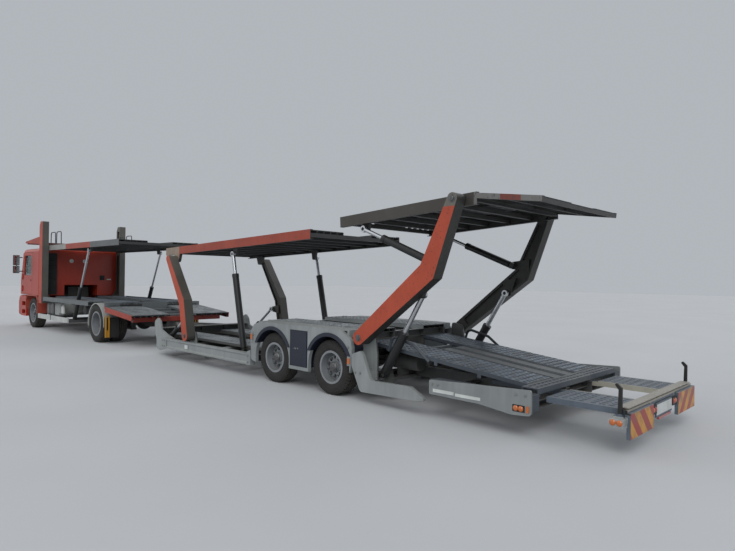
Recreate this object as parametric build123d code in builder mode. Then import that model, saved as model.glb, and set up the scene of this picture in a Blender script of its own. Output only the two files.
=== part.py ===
"""Articulated car transporter: a low-cab truck with its own two decks, and a stinger-steered rear
part with two more upper decks, hinged to the truck at a low pivot behind the drive axle.

Millimetres. +X runs from the bumper to the tail, +Y to the vehicle's right, +Z up.
The origin is on the ground, halfway along the parked length and on the centre line.
"""
import os
from math import cos, hypot, radians, sin

from build123d import *

os.makedirs("parts", exist_ok=True)

# Overall sizes
overall_length = 19500
half_width = 1250
front_x = -overall_length / 2

# Clearances
running_gap = 0.3
moving_gap = 20
lug_gap = 8

# Stations, measured from the bumper
front_axle_at = 1450
truck_axle_at = 6750
pivot_at = 8250
trailer_axles_at = (14060, 15400)

# Truck wheels
truck_tyre_r = 463
truck_tyre_width = 295
truck_rim_r = 286
front_wheel_y = 1050
twin_wheel_y = 935
twin_spacing = 335
kingpin_y = 860
kingpin_r = 26
spindle_r = 45

# Trailer wheels
trailer_tyre_r = 394
trailer_tyre_width = 245
trailer_rim_r = 222
trailer_wheel_y = 1072

# Truck frame
rail_y = 400
rail_width = 75
rail_bottom = 600
rail_top = 860
rail_wall = 10
engine_half_width = 310
spring_reach = 560
spring_eye_z = 560

# Cab
cab_front_at = 130
cab_back_at = 2130
cab_half_width = 1220
cab_floor = 1020
cab_roof = 2480
cab_wall = 55
windscreen_setback = 260
windscreen_bottom = 1560
windscreen_top = 2330
door_front_at = 440
door_back_at = 1400
door_bottom = 1045
door_top = 2370
door_gap = 6
hinge_pin_r = 9
hinge_r = 14
hinge_heights = (1180, 1560)
hinge_ring = 60
hinge_leaf = 60
window_sill = 1640
window_top = 2270
window_margin = 90
hinge_y = cab_half_width + hinge_r + running_gap
glass_thickness = 6
tunnel_half_width = 500
cab_corner_r = 110
screen_half_width = 1070
screen_corner_r = 90
grille_half_width = 780
grille_bottom = 1090
grille_top = 1430
tunnel_top = 1350

# Lower deck of the truck
truck_deck_top = 1000
truck_deck_from = 2620
truck_deck_to = 7350
platform_to = 8850
platform_front_top = 900
platform_back_top = 770
track_inner_y = 330
track_outer_y = 900
edge_beam_width = 70

plank_width = 145
plank_depth = 45
plank_sheet = 8
plank_wall = 5

# Upper decks, their side beams inboard of the posts and arms
lift_width = 180
outboard_inner_y = half_width - lift_width
deck_half_width = outboard_inner_y - moving_gap
deck_beam_width = 60
deck_beam_height = 150
deck_wall = 10
rib_width = 44
rib_depth = 60
track_recess = 10

# Masts behind the cab
mast_from = 2200
mast_to = 2480
mast_inner_y = outboard_inner_y
mast_outer_y = half_width
mast_foot = 860
mast_top = 3280
mast_web = 30
slider_height = 220
truck_upper_deck_from = 2230
truck_upper_deck_to = 7600
truck_upper_deck_top = 2560
RAIL_LOOPS = (2560, 3060)
loop_y = deck_half_width - 15
loop_height = 380

# Pivot between the truck and the rear part
pivot_pin_r = 50
pivot_eye_r = 115
pivot_eye_bottom = 450
pivot_eye_top = 570

# Rear part: low floor, wheel housing and tail
side_rail_from = 10290
side_rail_to = 13480
side_rail_bottom = 210
side_rail_top = 400
low_floor_top = 450
SIDE_RAIL = [(half_width, side_rail_top), (half_width, side_rail_top - 30), (half_width - 14, side_rail_top - 44),
             (half_width - 14, side_rail_bottom + 44), (half_width, side_rail_bottom + 30),
             (half_width, side_rail_bottom), (half_width - 100, side_rail_bottom),
             (half_width - 100, side_rail_top)]
housing_from = 13480
housing_to = 15880
housing_bottom = 280
housing_top = 950
arch_r = 440
box_door_from = 14520
box_door_to = 14940
locker_bottom = 330
locker_top = 880
rear_floor_from = 15900
rear_floor_to = 18550
rear_floor_front_top = 800
rear_floor_back_top = 525
rear_beam_from = 17230
rear_channel_top = 445
rear_beam_to = 18560
tail_top = 440
tail_rail_bottom = 375
tail_to = 19500
tail_half_width = 980

# Front posts and deck of the rear part
post_base = (11250, 515)
post_elbow = (11110, 1180)
post_top = (10520, 2030)
post_width = 200
front_deck_from = 10040
front_deck_to = 14740
front_deck_tilt = 2.07
front_deck_rise = 95

# Rear arms and deck of the rear part
arm_base = (16010, 870)
arm_elbow = (17170, 1770)
arm_top = (17530, 2630)
rear_deck_from = 15410
rear_deck_to = 17740
rear_flap_to = 18570
rear_deck_tilt = 3.7
rear_flap_drop = 7.4
rear_deck_rise = 70

# Lift cylinders: where the barrel is pinned, where the rod's eye is, and the barrel's size
cylinder_y = deck_half_width - 50
eye_width = 50
eye_r = 48
eye_bore_r = 25
CYLINDERS = {
    # name: base point, eye point, barrel length, barrel radius, rod radius, piston at
    "truck_deck": ((4550, 420), (5550, 2340), 1030, 52, 28, 460),
    "front_deck": ((12920, 390), (12530, 2090), 1370, 58, 34, 1000),
    "brace": ((10040, 260), (10990, 960), 600, 50, 28, 430),
    "arm": ((16270, 380), (16930, 1480), 690, 62, 34, 560),
    "tilt": ((17030, 1905), (15850, 2372), 870, 50, 28, 520),
}


def x_at(station):
    """Distance along X of a station measured from the bumper."""
    return front_x + station


def block(from_at, to_at, y_low, y_high, z_low, z_high, mode=Mode.ADD):
    """A straight-sided piece between two stations, two widths and two heights."""
    centre = (x_at((from_at + to_at) / 2), (y_low + y_high) / 2, (z_low + z_high) / 2)
    with Locations(centre):
        Box(to_at - from_at, y_high - y_low, z_high - z_low, mode=mode)


def side_plate(outline, y_low, y_high, mode=Mode.ADD):
    """A plate cut to a side outline of (station, height) points, between two widths."""
    with BuildSketch(Plane.XZ.offset(-y_high)) as profile:
        with BuildLine():
            Polyline(*[(x_at(s), z) for s, z in outline], close=True)
        make_face()
    extrude(profile.sketch, amount=y_high - y_low, mode=mode)


def rounded_plate(outline, y_low, y_high, mode=Mode.ADD):
    """A plate cut to a side outline of (station, height, corner radius) points."""
    with BuildSketch(Plane.XZ.offset(-y_high)) as profile:
        with BuildLine():
            FilletPolyline(*[(x_at(s), z) for s, z, r in outline],
                           radius=[r for s, z, r in outline], close=True)
        make_face()
    extrude(profile.sketch, amount=y_high - y_low, mode=mode)


def cross_pin(at, z, y_low, y_high, radius, mode=Mode.ADD):
    """A round pin or bore along Y."""
    with BuildSketch(Plane.XZ.offset(-y_high)) as profile:
        with Locations((x_at(at), z)):
            Circle(radius)
    extrude(profile.sketch, amount=y_high - y_low, mode=mode)


def upright(at, y, z_low, z_high, radius, mode=Mode.ADD):
    """A round pin or bore standing on end."""
    with BuildSketch(Plane.XY.offset(z_low)) as profile:
        with Locations((x_at(at), y)):
            Circle(radius)
    extrude(profile.sketch, amount=z_high - z_low, mode=mode)


def section(outline, plane, low, high, mode=Mode.ADD):
    """Run a (width, height) outline along a plane's length, between two distances from its start."""
    start = Plane(origin=plane.origin + plane.x_dir * low, x_dir=(0, 1, 0), z_dir=plane.x_dir)
    with BuildSketch(start) as profile:
        with BuildLine():
            Polyline(*outline, close=True)
        make_face()
    extrude(profile.sketch, amount=high - low, mode=mode)


def channel(web_y, open_y, z_low, z_high, wall):
    """The outline of a channel: its web at one width, its two flanges reaching to another."""
    inner_y = web_y + (wall if open_y > web_y else -wall)
    return [(web_y, z_low), (open_y, z_low), (open_y, z_low + wall), (inner_y, z_low + wall),
            (inner_y, z_high - wall), (open_y, z_high - wall), (open_y, z_high), (web_y, z_high)]


def cross_channel(at, y_low, y_high, z_low, z_high, depth, wall):
    """A channel laid across the vehicle, its web at the front."""
    side_plate([(at, z_low), (at + depth, z_low), (at + depth, z_low + wall), (at + wall, z_low + wall),
                (at + wall, z_high - wall), (at + depth, z_high - wall), (at + depth, z_high),
                (at, z_high)], y_low, y_high)


def planks(y_low, y_high, top):
    """The outline of pressed planks side by side: a thin top, and edges turned down between them."""
    count = round((y_high - y_low) / plank_width)
    pitch = (y_high - y_low) / count
    under = top - plank_sheet
    foot = top - plank_depth
    points = [(y_low, top), (y_high, top), (y_high, foot), (y_high - plank_wall, foot),
              (y_high - plank_wall, under)]
    for number in range(1, count):
        seam = y_high - pitch * number
        points += [(seam + plank_wall, under), (seam + plank_wall, foot), (seam - plank_wall, foot),
                   (seam - plank_wall, under)]
    return points + [(y_low + plank_wall, under), (y_low + plank_wall, foot), (y_low, foot)]


def bent_tube(points, bend_r, tube_r):
    """A round tube bent through (station, width, height) points."""
    with BuildLine() as path:
        FilletPolyline(*[(x_at(s), y, z) for s, y, z in points], radius=bend_r)
    with BuildSketch(Plane(origin=path.line @ 0, z_dir=path.line % 0)) as ring:
        Circle(tube_r)
    sweep(ring.sketch, path=path.line)


def write(builder, name):
    """Label a finished piece and write it to its own file."""
    builder.part.label = name
    export_step(builder.part, f"parts/{name}.step")


def both(y_low, y_high):
    """The same stretch of width on the left and on the right side."""
    return ((-y_high, -y_low), (y_low, y_high))


def mirrored(outline):
    """A (width, height) outline on the right side and the same one on the left."""
    return (outline, [(-y, z) for y, z in outline])


ground = Plane(origin=(front_x, 0, 0), x_dir=(1, 0, 0), z_dir=(0, 0, 1))


# Truck frame: two channel rails, cross members, the mounts on them and the low coupling beam
RAIL_CROSS_MEMBERS = (420, 2050, 3600, 4900, 6100, 7150)
rail_to = 7265
coupling_beam_from = 7700
coupling_beam_to = 8040
coupling_plate_bottom = pivot_eye_top + 40
with BuildPart() as truck_frame:
    for outline in mirrored(channel(rail_y, rail_y - rail_width, rail_bottom, rail_top, rail_wall)):
        section(outline, ground, 250, rail_to)
    for station in RAIL_CROSS_MEMBERS:
        cross_channel(station, -rail_y + rail_wall, rail_y - rail_wall, rail_bottom + 40, rail_top - 40,
                      80, rail_wall)
    for y_low, y_high in both(rail_y - rail_width, rail_y):
        side_plate([(7200, rail_bottom), (7200, 760), (7400, 760), (coupling_beam_to, 690),
                    (coupling_beam_to, 430), (coupling_beam_from, 430)], y_low, y_high)
    cross_channel(coupling_beam_from, -rail_y, rail_y, 470, 690, coupling_beam_to - coupling_beam_from, 25)
    block(coupling_beam_to - 10, pivot_at + 130, -160, 160, coupling_plate_bottom,
          coupling_plate_bottom + 40)
    for y_low, y_high in both(110, 135):
        side_plate([(coupling_beam_to - 20, coupling_plate_bottom), (coupling_beam_to - 20, 690),
                    (pivot_at + 60, coupling_plate_bottom + 40)], y_low, y_high)
    upright(pivot_at, 0, pivot_eye_bottom - 60, coupling_plate_bottom + 20, pivot_pin_r)
    upright(pivot_at, 0, pivot_eye_bottom - 60, pivot_eye_bottom - 25, pivot_pin_r + 30)
    base_at, base_z = CYLINDERS["truck_deck"][0]
    for y_low, y_high in both(rail_y, cylinder_y - CYLINDERS["truck_deck"][3] - lug_gap):
        rounded_plate([(base_at - 60, base_z - 60, 30), (base_at - 60, base_z + 60, 30),
                       (base_at + 60, base_z + 60, 30), (base_at + 60, base_z - 60, 30)], y_low, y_high)
    for y_low, y_high in both(rail_y - 60, rail_y):
        side_plate([(base_at - 60, base_z - 60), (base_at - 140, rail_bottom + 20),
                    (base_at + 140, rail_bottom + 20), (base_at + 60, base_z - 60)], y_low, y_high)
    for y_low, y_high in both(cylinder_y - 100, cylinder_y + eye_width / 2):
        cross_pin(base_at, base_z, y_low, y_high, eye_bore_r - running_gap)
    for station in (820, 1640):
        for y_low, y_high in both(engine_half_width, rail_y - rail_width + 10):
            block(station, station + 90, y_low, y_high, rail_top - 90, rail_top)
    for station in (480, 1990):
        for y_low, y_high in both(rail_y - 20, tunnel_half_width + cab_wall):
            block(station, station + 90, y_low, y_high, rail_top - 70, rail_top)
        for y_low, y_high in both(tunnel_half_width, tunnel_half_width + cab_wall):
            block(station, station + 90, y_low, y_high, rail_top - 10, cab_floor)
    for hanger_at in (front_axle_at - spring_reach, front_axle_at + spring_reach):
        for y_low, y_high in both(330, 400):
            side_plate([(hanger_at - 70, rail_bottom), (hanger_at + 70, rail_bottom),
                        (hanger_at + 30, spring_eye_z), (hanger_at - 30, spring_eye_z)], y_low, y_high)
write(truck_frame, "truck_frame")

with BuildPart() as engine_block:
    block(620, 1880, -engine_half_width, engine_half_width, 560, tunnel_top - 60)
write(engine_block, "engine_block")

# Axles: the front one carries the kingpins on leaf springs, the rear one hangs on air springs
with BuildPart() as truck_axles:
    with BuildSketch(Plane.YZ.offset(x_at(front_axle_at) - 50)):
        with BuildLine():
            Polyline((-800, 500), (-600, 500), (-440, 470), (440, 470), (600, 500), (800, 500),
                     (800, 430), (620, 400), (440, 370), (-440, 370), (-620, 400), (-800, 430), close=True)
        make_face()
    extrude(amount=100)
    for side in (-1, 1):
        block(front_axle_at - 40, front_axle_at + 40, *sorted((side * 740, side * kingpin_y)),
              truck_tyre_r - 40, truck_tyre_r + 40)
        upright(front_axle_at, side * kingpin_y, truck_tyre_r - 40, truck_tyre_r + 40, 40)
        upright(front_axle_at, side * kingpin_y, truck_tyre_r - 120, truck_tyre_r + 120, kingpin_r)
        leaf_y = sorted((side * 330, side * 400))
        side_plate([(front_axle_at - spring_reach - 40, spring_eye_z),
                    (front_axle_at - spring_reach + 40, spring_eye_z), (front_axle_at - 200, 492),
                    (front_axle_at + 200, 492), (front_axle_at + spring_reach - 40, spring_eye_z),
                    (front_axle_at + spring_reach + 40, spring_eye_z),
                    (front_axle_at + spring_reach + 40, spring_eye_z - 24), (front_axle_at + 180, 460),
                    (front_axle_at - 180, 460), (front_axle_at - spring_reach - 40, spring_eye_z - 24)],
                   *leaf_y)
        for bag_at in (6420, 7080):
            upright(bag_at, side * 450, 345, 420, 75)
            upright(bag_at, side * 450, 415, rail_bottom, 105)
        beam_y = sorted((side * 390, side * 510))
        rounded_plate([(6320, 300, 30), (6320, 350, 20), (6660, 380, 60), (6690, 500, 20), (6810, 500, 20),
                       (6840, 380, 60), (7180, 350, 20), (7180, 300, 30)], *beam_y)
    cross_pin(truck_axle_at, truck_tyre_r, -600, 600, 95)
    with Locations((x_at(truck_axle_at), 0, truck_tyre_r)):
        Sphere(205)
    cross_pin(truck_axle_at, truck_tyre_r, -1040, 1040, spindle_r)
    shaft = Plane(origin=(x_at(1884), 0, 590),
                  z_dir=(truck_axle_at - 150 - 1880, 0, truck_tyre_r + 10 - 590))
    with BuildSketch(shaft):
        Circle(45)
    extrude(amount=hypot(truck_axle_at - 150 - 1880, truck_tyre_r + 10 - 590))
write(truck_axles, "truck_axles")

for side, side_name in ((-1, "left"), (1, "right")):
    with BuildPart() as knuckle:
        for z_low in (truck_tyre_r - 110, truck_tyre_r + 45):
            with BuildSketch(Plane.XY.offset(z_low)):
                with Locations((x_at(front_axle_at), side * kingpin_y)):
                    Circle(48)
                    Circle(kingpin_r + running_gap, mode=Mode.SUBTRACT)
            extrude(amount=65)
        outer_y = sorted((side * (kingpin_y + 46), side * (kingpin_y + 75)))
        block(front_axle_at - 60, front_axle_at + 60, *outer_y, truck_tyre_r - 110, truck_tyre_r + 110)
        for z_low in (truck_tyre_r - 110, truck_tyre_r + 45):
            arm_y = sorted((side * (kingpin_y + 34), side * (kingpin_y + 60)))
            block(front_axle_at - 30, front_axle_at + 30, *arm_y, z_low, z_low + 65)
        spindle = sorted((side * (kingpin_y + 60), side * 1130))
        cross_pin(front_axle_at, truck_tyre_r, *spindle, spindle_r)
    write(knuckle, f"knuckle_{side_name}")


def turned(at, radius_z, outline):
    """Turn a (width, radius) outline about a wheel's axle."""
    with BuildSketch(Plane.YZ.offset(x_at(at))) as profile:
        with BuildLine():
            Polyline(*[(y, radius_z + r) for y, r in outline], close=True)
        make_face()
    revolve(profile.sketch, axis=Axis((x_at(at), 0, radius_z), (0, 1, 0)))


def tyre_outline(y_centre, width, tyre_r, rim_r):
    """A radial tyre: bead, bulged wall, shoulder and flat tread."""
    half = width / 2
    wall = tyre_r - rim_r
    quarter = [
        (half * 0.80, rim_r),
        (half * 0.80, rim_r + 19),
        (half * 0.97, rim_r + wall * 0.30),
        (half, rim_r + wall * 0.50),
        (half * 0.93, rim_r + wall * 0.85),
        (half * 0.80, tyre_r),
    ]
    inner = [(-y, r) for y, r in reversed(quarter)]
    return [(y_centre + y, r) for y, r in quarter + inner]


def rim_outline(side, y_centre, width, rim_r, disc_y, hub_r):
    """A pressed steel rim: flanges, well, dished disc and a bored hub. Widths run outwards."""
    half = width * 0.40 + running_gap
    flange = rim_r + 18
    wall = 14
    outline = [
        (half + 12, flange),
        (half, flange),
        (half, rim_r - running_gap),
        (-half, rim_r - running_gap),
        (-half, flange),
        (-half - 12, flange),
        (-half - 12, rim_r - wall),
        (disc_y - 40, rim_r - wall),
        (disc_y - 8, rim_r * 0.66),
        (disc_y - 8, hub_r + 40),
        (disc_y - 60, hub_r + 36),
        (disc_y - 60, hub_r),
        (disc_y + 45, hub_r),
        (disc_y + 45, hub_r + 34),
        (disc_y + 8, hub_r + 40),
        (disc_y + 8, rim_r * 0.70),
        (disc_y - 18, rim_r - wall),
        (half + 12, rim_r - wall),
    ]
    return [(side * (y_centre + y), r) for y, r in outline]


# Wheels: station, name, sides, tyre centres from the centre line, tyre width, tyre and rim radius, disc
WHEELS = [
    ("front", front_axle_at, (front_wheel_y,), truck_tyre_width, truck_tyre_r, truck_rim_r, 40),
    ("drive", truck_axle_at, (twin_wheel_y - twin_spacing / 2, twin_wheel_y + twin_spacing / 2),
     truck_tyre_width, truck_tyre_r, truck_rim_r, -105),
    ("trailer_fore", trailer_axles_at[0], (trailer_wheel_y,), trailer_tyre_width, trailer_tyre_r,
     trailer_rim_r, 10),
    ("trailer_aft", trailer_axles_at[1], (trailer_wheel_y,), trailer_tyre_width, trailer_tyre_r,
     trailer_rim_r, 10),
]
hand_holes = 8
hand_hole_r = 26
for name, station, centres, width, tyre_r, rim_r, disc_y in WHEELS:
    for side, side_name in ((-1, "left"), (1, "right")):
        with BuildPart() as tyre:
            for y_centre in centres:
                turned(station, tyre_r, tyre_outline(side * y_centre, width, tyre_r, rim_r))
        write(tyre, f"{name}_tyre_{side_name}")
        with BuildPart() as rim:
            for number, y_centre in enumerate(centres):
                inner_twin = len(centres) == 2 and number == 0
                seat = 105 if inner_twin else disc_y
                turned(station, tyre_r, rim_outline(side, y_centre, width, rim_r, seat,
                                                    spindle_r + running_gap))
            outer = centres[-1] + disc_y
            hole_plane = Plane(origin=(x_at(station), side * (outer + 60), tyre_r),
                               x_dir=(1, 0, 0), z_dir=(0, side, 0))
            with BuildSketch(hole_plane):
                with PolarLocations(rim_r * 0.60, hand_holes):
                    Circle(hand_hole_r)
            extrude(amount=-120, mode=Mode.SUBTRACT)
        write(rim, f"{name}_rim_{side_name}")

# Cab: a hollow rounded shell split at the doors and the windscreen, with its engine tunnel
cab_outline = [
    (cab_front_at, cab_floor, 0),
    (cab_front_at, windscreen_bottom - 60, 120),
    (cab_front_at + windscreen_setback, windscreen_top + 20, 90),
    (cab_front_at + windscreen_setback + 150, cab_roof, 120),
    (cab_back_at, cab_roof, 90),
    (cab_back_at, cab_floor, 0),
]
cab_inner_outline = [
    (cab_front_at + cab_wall, cab_floor + cab_wall, 0),
    (cab_front_at + cab_wall, windscreen_bottom - 60, 100),
    (cab_front_at + windscreen_setback + cab_wall, windscreen_top, 60),
    (cab_front_at + windscreen_setback + 180, cab_roof - cab_wall, 80),
    (cab_back_at - cab_wall, cab_roof - cab_wall, 50),
    (cab_back_at - cab_wall, cab_floor + cab_wall, 0),
]
window_outline = [
    (door_front_at + window_margin + 40, window_sill, 30),
    (door_front_at + window_margin + 110, window_top, 60),
    (door_back_at - window_margin, window_top, 60),
    (door_back_at - window_margin, window_sill, 30),
]


def side_edges(builder, half_width_there):
    """The edges round both side faces of a prism, apart from the bottom ones."""
    edges = builder.edges().filter_by(lambda e: abs(abs(e.center().Y) - half_width_there) < 1)
    lowest = min(e.center().Z for e in edges)
    return edges.filter_by(lambda e: e.center().Z > lowest + 1)


with BuildPart() as cab_hollow:
    rounded_plate(cab_inner_outline, -cab_half_width + cab_wall, cab_half_width - cab_wall)
    fillet(side_edges(cab_hollow, cab_half_width - cab_wall), cab_corner_r - cab_wall)

with BuildPart() as cab_shell:
    rounded_plate(cab_outline, -cab_half_width, cab_half_width)
    fillet(side_edges(cab_shell, cab_half_width), cab_corner_r)
    add(cab_hollow.part, mode=Mode.SUBTRACT)
    block(cab_front_at + 100, cab_back_at - 1, -tunnel_half_width - cab_wall,
          tunnel_half_width + cab_wall, cab_floor, tunnel_top + cab_wall)
    block(cab_front_at + 200, cab_back_at + 1, -tunnel_half_width, tunnel_half_width, cab_floor - 1,
          tunnel_top, mode=Mode.SUBTRACT)
    for y_low, y_high in both(tunnel_half_width + cab_wall, cab_half_width + 1):
        block(door_front_at, door_back_at, y_low, y_high, door_bottom, door_top, mode=Mode.SUBTRACT)
    with BuildSketch(Plane.YZ.offset(x_at(cab_front_at) - 1)):
        with Locations((0, (windscreen_bottom + windscreen_top) / 2)):
            RectangleRounded(2 * screen_half_width, windscreen_top - windscreen_bottom, screen_corner_r)
        with Locations((0, (grille_bottom + grille_top) / 2)):
            RectangleRounded(2 * grille_half_width, grille_top - grille_bottom, 40)
    extrude(amount=windscreen_setback + 150, mode=Mode.SUBTRACT)
    block(cab_front_at + cab_wall, cab_front_at + cab_wall + 25, -grille_half_width - 50,
          grille_half_width + 50, cab_floor + 20, windscreen_bottom - 80)
    for side in (-1, 1):
        leaf_y = sorted((side * (cab_half_width - 1), side * hinge_y))
        for z in hinge_heights:
            for z_low in (z - hinge_ring, z + hinge_ring):
                upright(door_front_at, side * hinge_y, z_low, z_low + hinge_ring - running_gap, hinge_r)
                block(door_front_at - hinge_leaf, door_front_at, *leaf_y, z_low,
                      z_low + hinge_ring - running_gap)
            upright(door_front_at, side * hinge_y, z - 20, z + hinge_ring + 20, hinge_pin_r)
write(cab_shell, "cab_shell")

# The windscreen leans back in its opening
screen_low = (cab_front_at + 46, windscreen_bottom + 1)
screen_high = (cab_front_at + windscreen_setback + 9, windscreen_top - 4)
screen_length = hypot(screen_high[0] - screen_low[0], screen_high[1] - screen_low[1])
screen_plane = Plane(origin=(x_at((screen_low[0] + screen_high[0]) / 2), 0,
                             (screen_low[1] + screen_high[1]) / 2),
                     x_dir=(0, 1, 0),
                     z_dir=(screen_high[1] - screen_low[1], 0, screen_low[0] - screen_high[0]))
with BuildPart() as windscreen:
    with BuildSketch(screen_plane):
        RectangleRounded(2 * (screen_half_width - running_gap), screen_length, screen_corner_r + 6)
    extrude(amount=-glass_thickness)
write(windscreen, "windscreen")

door_outline = [
    (door_front_at + door_gap, door_bottom + door_gap, 20),
    (door_front_at + door_gap, door_top - door_gap, 70),
    (door_back_at - door_gap, door_top - door_gap, 70),
    (door_back_at - door_gap, door_bottom + door_gap, 20),
]
for side, side_name in ((-1, "left"), (1, "right")):
    door_y = sorted((side * (cab_half_width - cab_wall), side * cab_half_width))
    pane_y = sorted((side * (cab_half_width - cab_wall / 2 - glass_thickness / 2),
                     side * (cab_half_width - cab_wall / 2 + glass_thickness / 2)))
    with BuildPart() as door:
        rounded_plate(door_outline, *door_y)
        rounded_plate(window_outline, door_y[0] - 1, door_y[1] + 1, mode=Mode.SUBTRACT)
        leaf_y = sorted((side * (cab_half_width - 1), side * hinge_y))
        for z in hinge_heights:
            upright(door_front_at, side * hinge_y, z, z + hinge_ring - running_gap, hinge_r)
            block(door_front_at + door_gap, door_front_at + hinge_leaf, *leaf_y, z,
                  z + hinge_ring - running_gap)
            upright(door_front_at, side * hinge_y, z - 1, z + hinge_ring + 1,
                    hinge_pin_r + running_gap, mode=Mode.SUBTRACT)
        handle_y = sorted((side * (cab_half_width - 1), side * (cab_half_width + 22)))
        rounded_plate([(door_back_at - 210, 1470, 8), (door_back_at - 210, 1500, 8),
                       (door_back_at - 80, 1500, 8), (door_back_at - 80, 1470, 8)], *handle_y)
        grip_y = sorted((side * (cab_half_width - 1), side * (cab_half_width + 12)))
        rounded_plate([(door_back_at - 180, 1460, 3), (door_back_at - 180, 1510, 3),
                       (door_back_at - 110, 1510, 3), (door_back_at - 110, 1460, 3)], *grip_y,
                      mode=Mode.SUBTRACT)
    write(door, f"door_{side_name}")
    with BuildPart() as door_glass:
        rounded_plate(window_outline, *pane_y)
    write(door_glass, f"door_glass_{side_name}")

# Inside the cab: two seats, the dashboard and the steering wheel
seat_outline = [
    (1000, cab_floor + cab_wall, 0), (1000, 1440, 10), (960, 1500, 30), (970, 1560, 30),
    (1430, 1530, 40), (1560, 2120, 50), (1590, 2290, 25), (1660, 2290, 25), (1640, 2080, 60),
    (1580, 1500, 80), (1540, 1430, 20), (1540, cab_floor + cab_wall, 0),
]
dash_outline = [
    (cab_front_at + cab_wall + 25, 1412, 0), (cab_front_at + cab_wall + 25, 1480, 10), (430, 1530, 40),
    (540, 1490, 30), (520, 1412, 10),
]
with BuildPart() as cab_interior:
    for y_low, y_high in both(600, 1080):
        rounded_plate(seat_outline, y_low, y_high)
    rounded_plate(dash_outline, -cab_half_width + 90, cab_half_width - 90)
    wheel_plane = Plane(origin=(x_at(760), -835, 1640), z_dir=(0.72, 0, 0.69))
    with BuildSketch(wheel_plane):
        Circle(230)
        Circle(198, mode=Mode.SUBTRACT)
        Rectangle(400, 36)
        Rectangle(36, 400)
        Circle(62)
    extrude(amount=25)
    with BuildSketch(wheel_plane):
        Circle(30)
    extrude(amount=-330)
write(cab_interior, "cab_interior")

# Front end: a rounded bumper with lamp pockets and an air inlet, and the entry steps behind it
bumper_half_width = half_width - 20
lamp_from_y = 800
lamp_to_y = 1130
lamp_bottom = 590
lamp_top = 780
lamp_depth = 60
inlet_half_width = 620
bumper_outline = [(0, 330, 60), (0, 790, 90), (90, 990, 60), (330, 990, 0), (330, 330, 0)]
with BuildPart() as front_bumper:
    rounded_plate(bumper_outline, -bumper_half_width, bumper_half_width)
    fillet(side_edges(front_bumper, bumper_half_width).filter_by(
        lambda e: e.center().X < x_at(329)), 90)
    block(160, 331, -900, 900, 329, 860, mode=Mode.SUBTRACT)
    block(-1, 161, -inlet_half_width, inlet_half_width, 430, 700, mode=Mode.SUBTRACT)
    for y_low, y_high in both(lamp_from_y, lamp_to_y):
        block(-1, lamp_depth, y_low, y_high, lamp_bottom, lamp_top, mode=Mode.SUBTRACT)
    for y_low, y_high in both(rail_y - rail_width, rail_y):
        block(150, 250, y_low, y_high, 640, 820)
    for y_low, y_high in both(920, bumper_half_width):
        block(330, 870, y_low, y_high, 330, 560)
        block(330, 850 - running_gap, y_low, y_high - 60, 560, 980)
        block(330, 850 - running_gap, y_low, y_high - 200, 780, 980)
    for step_low in (400, 660):
        for side in (-1, 1):
            step_y = sorted((side * (bumper_half_width + 1), side * (bumper_half_width - 190)))
            block(430, 800, *step_y, step_low, step_low + 130, mode=Mode.SUBTRACT)
write(front_bumper, "front_bumper")

# Grille slats in the cab's front and in the bumper, and the headlamps in their pockets
slat_count = 6
slat_height = 26
with BuildPart() as grille_and_lamps:
    frame_half = grille_half_width - running_gap
    with BuildSketch(Plane.YZ.offset(x_at(cab_front_at))):
        with Locations((0, (grille_bottom + grille_top) / 2)):
            RectangleRounded(2 * frame_half, grille_top - grille_bottom - 2 * running_gap, 40)
            RectangleRounded(2 * frame_half - 60, grille_top - grille_bottom - 60, 20,
                             mode=Mode.SUBTRACT)
    extrude(amount=cab_wall - running_gap)
    for number in range(slat_count):
        z = grille_bottom + 25 + (grille_top - grille_bottom - 50) * (number + 0.5) / slat_count
        side_plate([(cab_front_at - 8, z + 12), (cab_front_at + 40, z + slat_height - 10),
                    (cab_front_at + 40, z - 10), (cab_front_at - 8, z - slat_height + 12)],
                   -frame_half + 20, frame_half - 20)
    for y in (-inlet_half_width / 2, 0, inlet_half_width / 2):
        block(60, 120, y - 12, y + 12, 430 + running_gap, 700 - running_gap)
    for number in range(4):
        z = 460 + 60 * number
        side_plate([(50, z + 8), (110, z + 20), (110, z), (50, z - 12)],
                   -inlet_half_width + running_gap, inlet_half_width - running_gap)
    for side in (-1, 1):
        lamp_y = sorted((side * (lamp_from_y + running_gap), side * (lamp_to_y - running_gap)))
        side_plate([(lamp_depth - running_gap, lamp_bottom + running_gap),
                    (lamp_depth - running_gap, lamp_top - running_gap),
                    (22, lamp_top - running_gap), (4, lamp_top - 60), (4, lamp_bottom + running_gap)],
                   *lamp_y)
        for y_centre in (920, 1040):
            lens = sorted((side * (y_centre - 45), side * (y_centre + 45)))
            with BuildSketch(Plane.YZ.offset(x_at(-6))):
                with Locations((sum(lens) / 2, (lamp_bottom + lamp_top) / 2 - 20)):
                    Circle(52)
            extrude(amount=30)
write(grille_and_lamps, "grille_and_lamps")

with BuildPart() as mirrors:
    for side in (-1, 1):
        arm_y = sorted((side * cab_half_width, side * 1400))
        for z in (1750, 2200):
            block(345, 375, *arm_y, z, z + 30)
        head_y = sorted((side * 1310, side * 1480))
        for z_low, z_high in ((1960, 2290), (1700, 1940)):
            rounded_plate([(300, z_low, 30), (290, z_high, 30), (390, z_high, 25), (390, z_low, 25)],
                          *head_y)
        block(345, 375, *sorted((side * 1380, side * 1400)), 1750, 2230)
write(mirrors, "mirrors")

# Mudguards and flaps over the truck's wheels
guard_r = 520
guard_wall = 25


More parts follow.
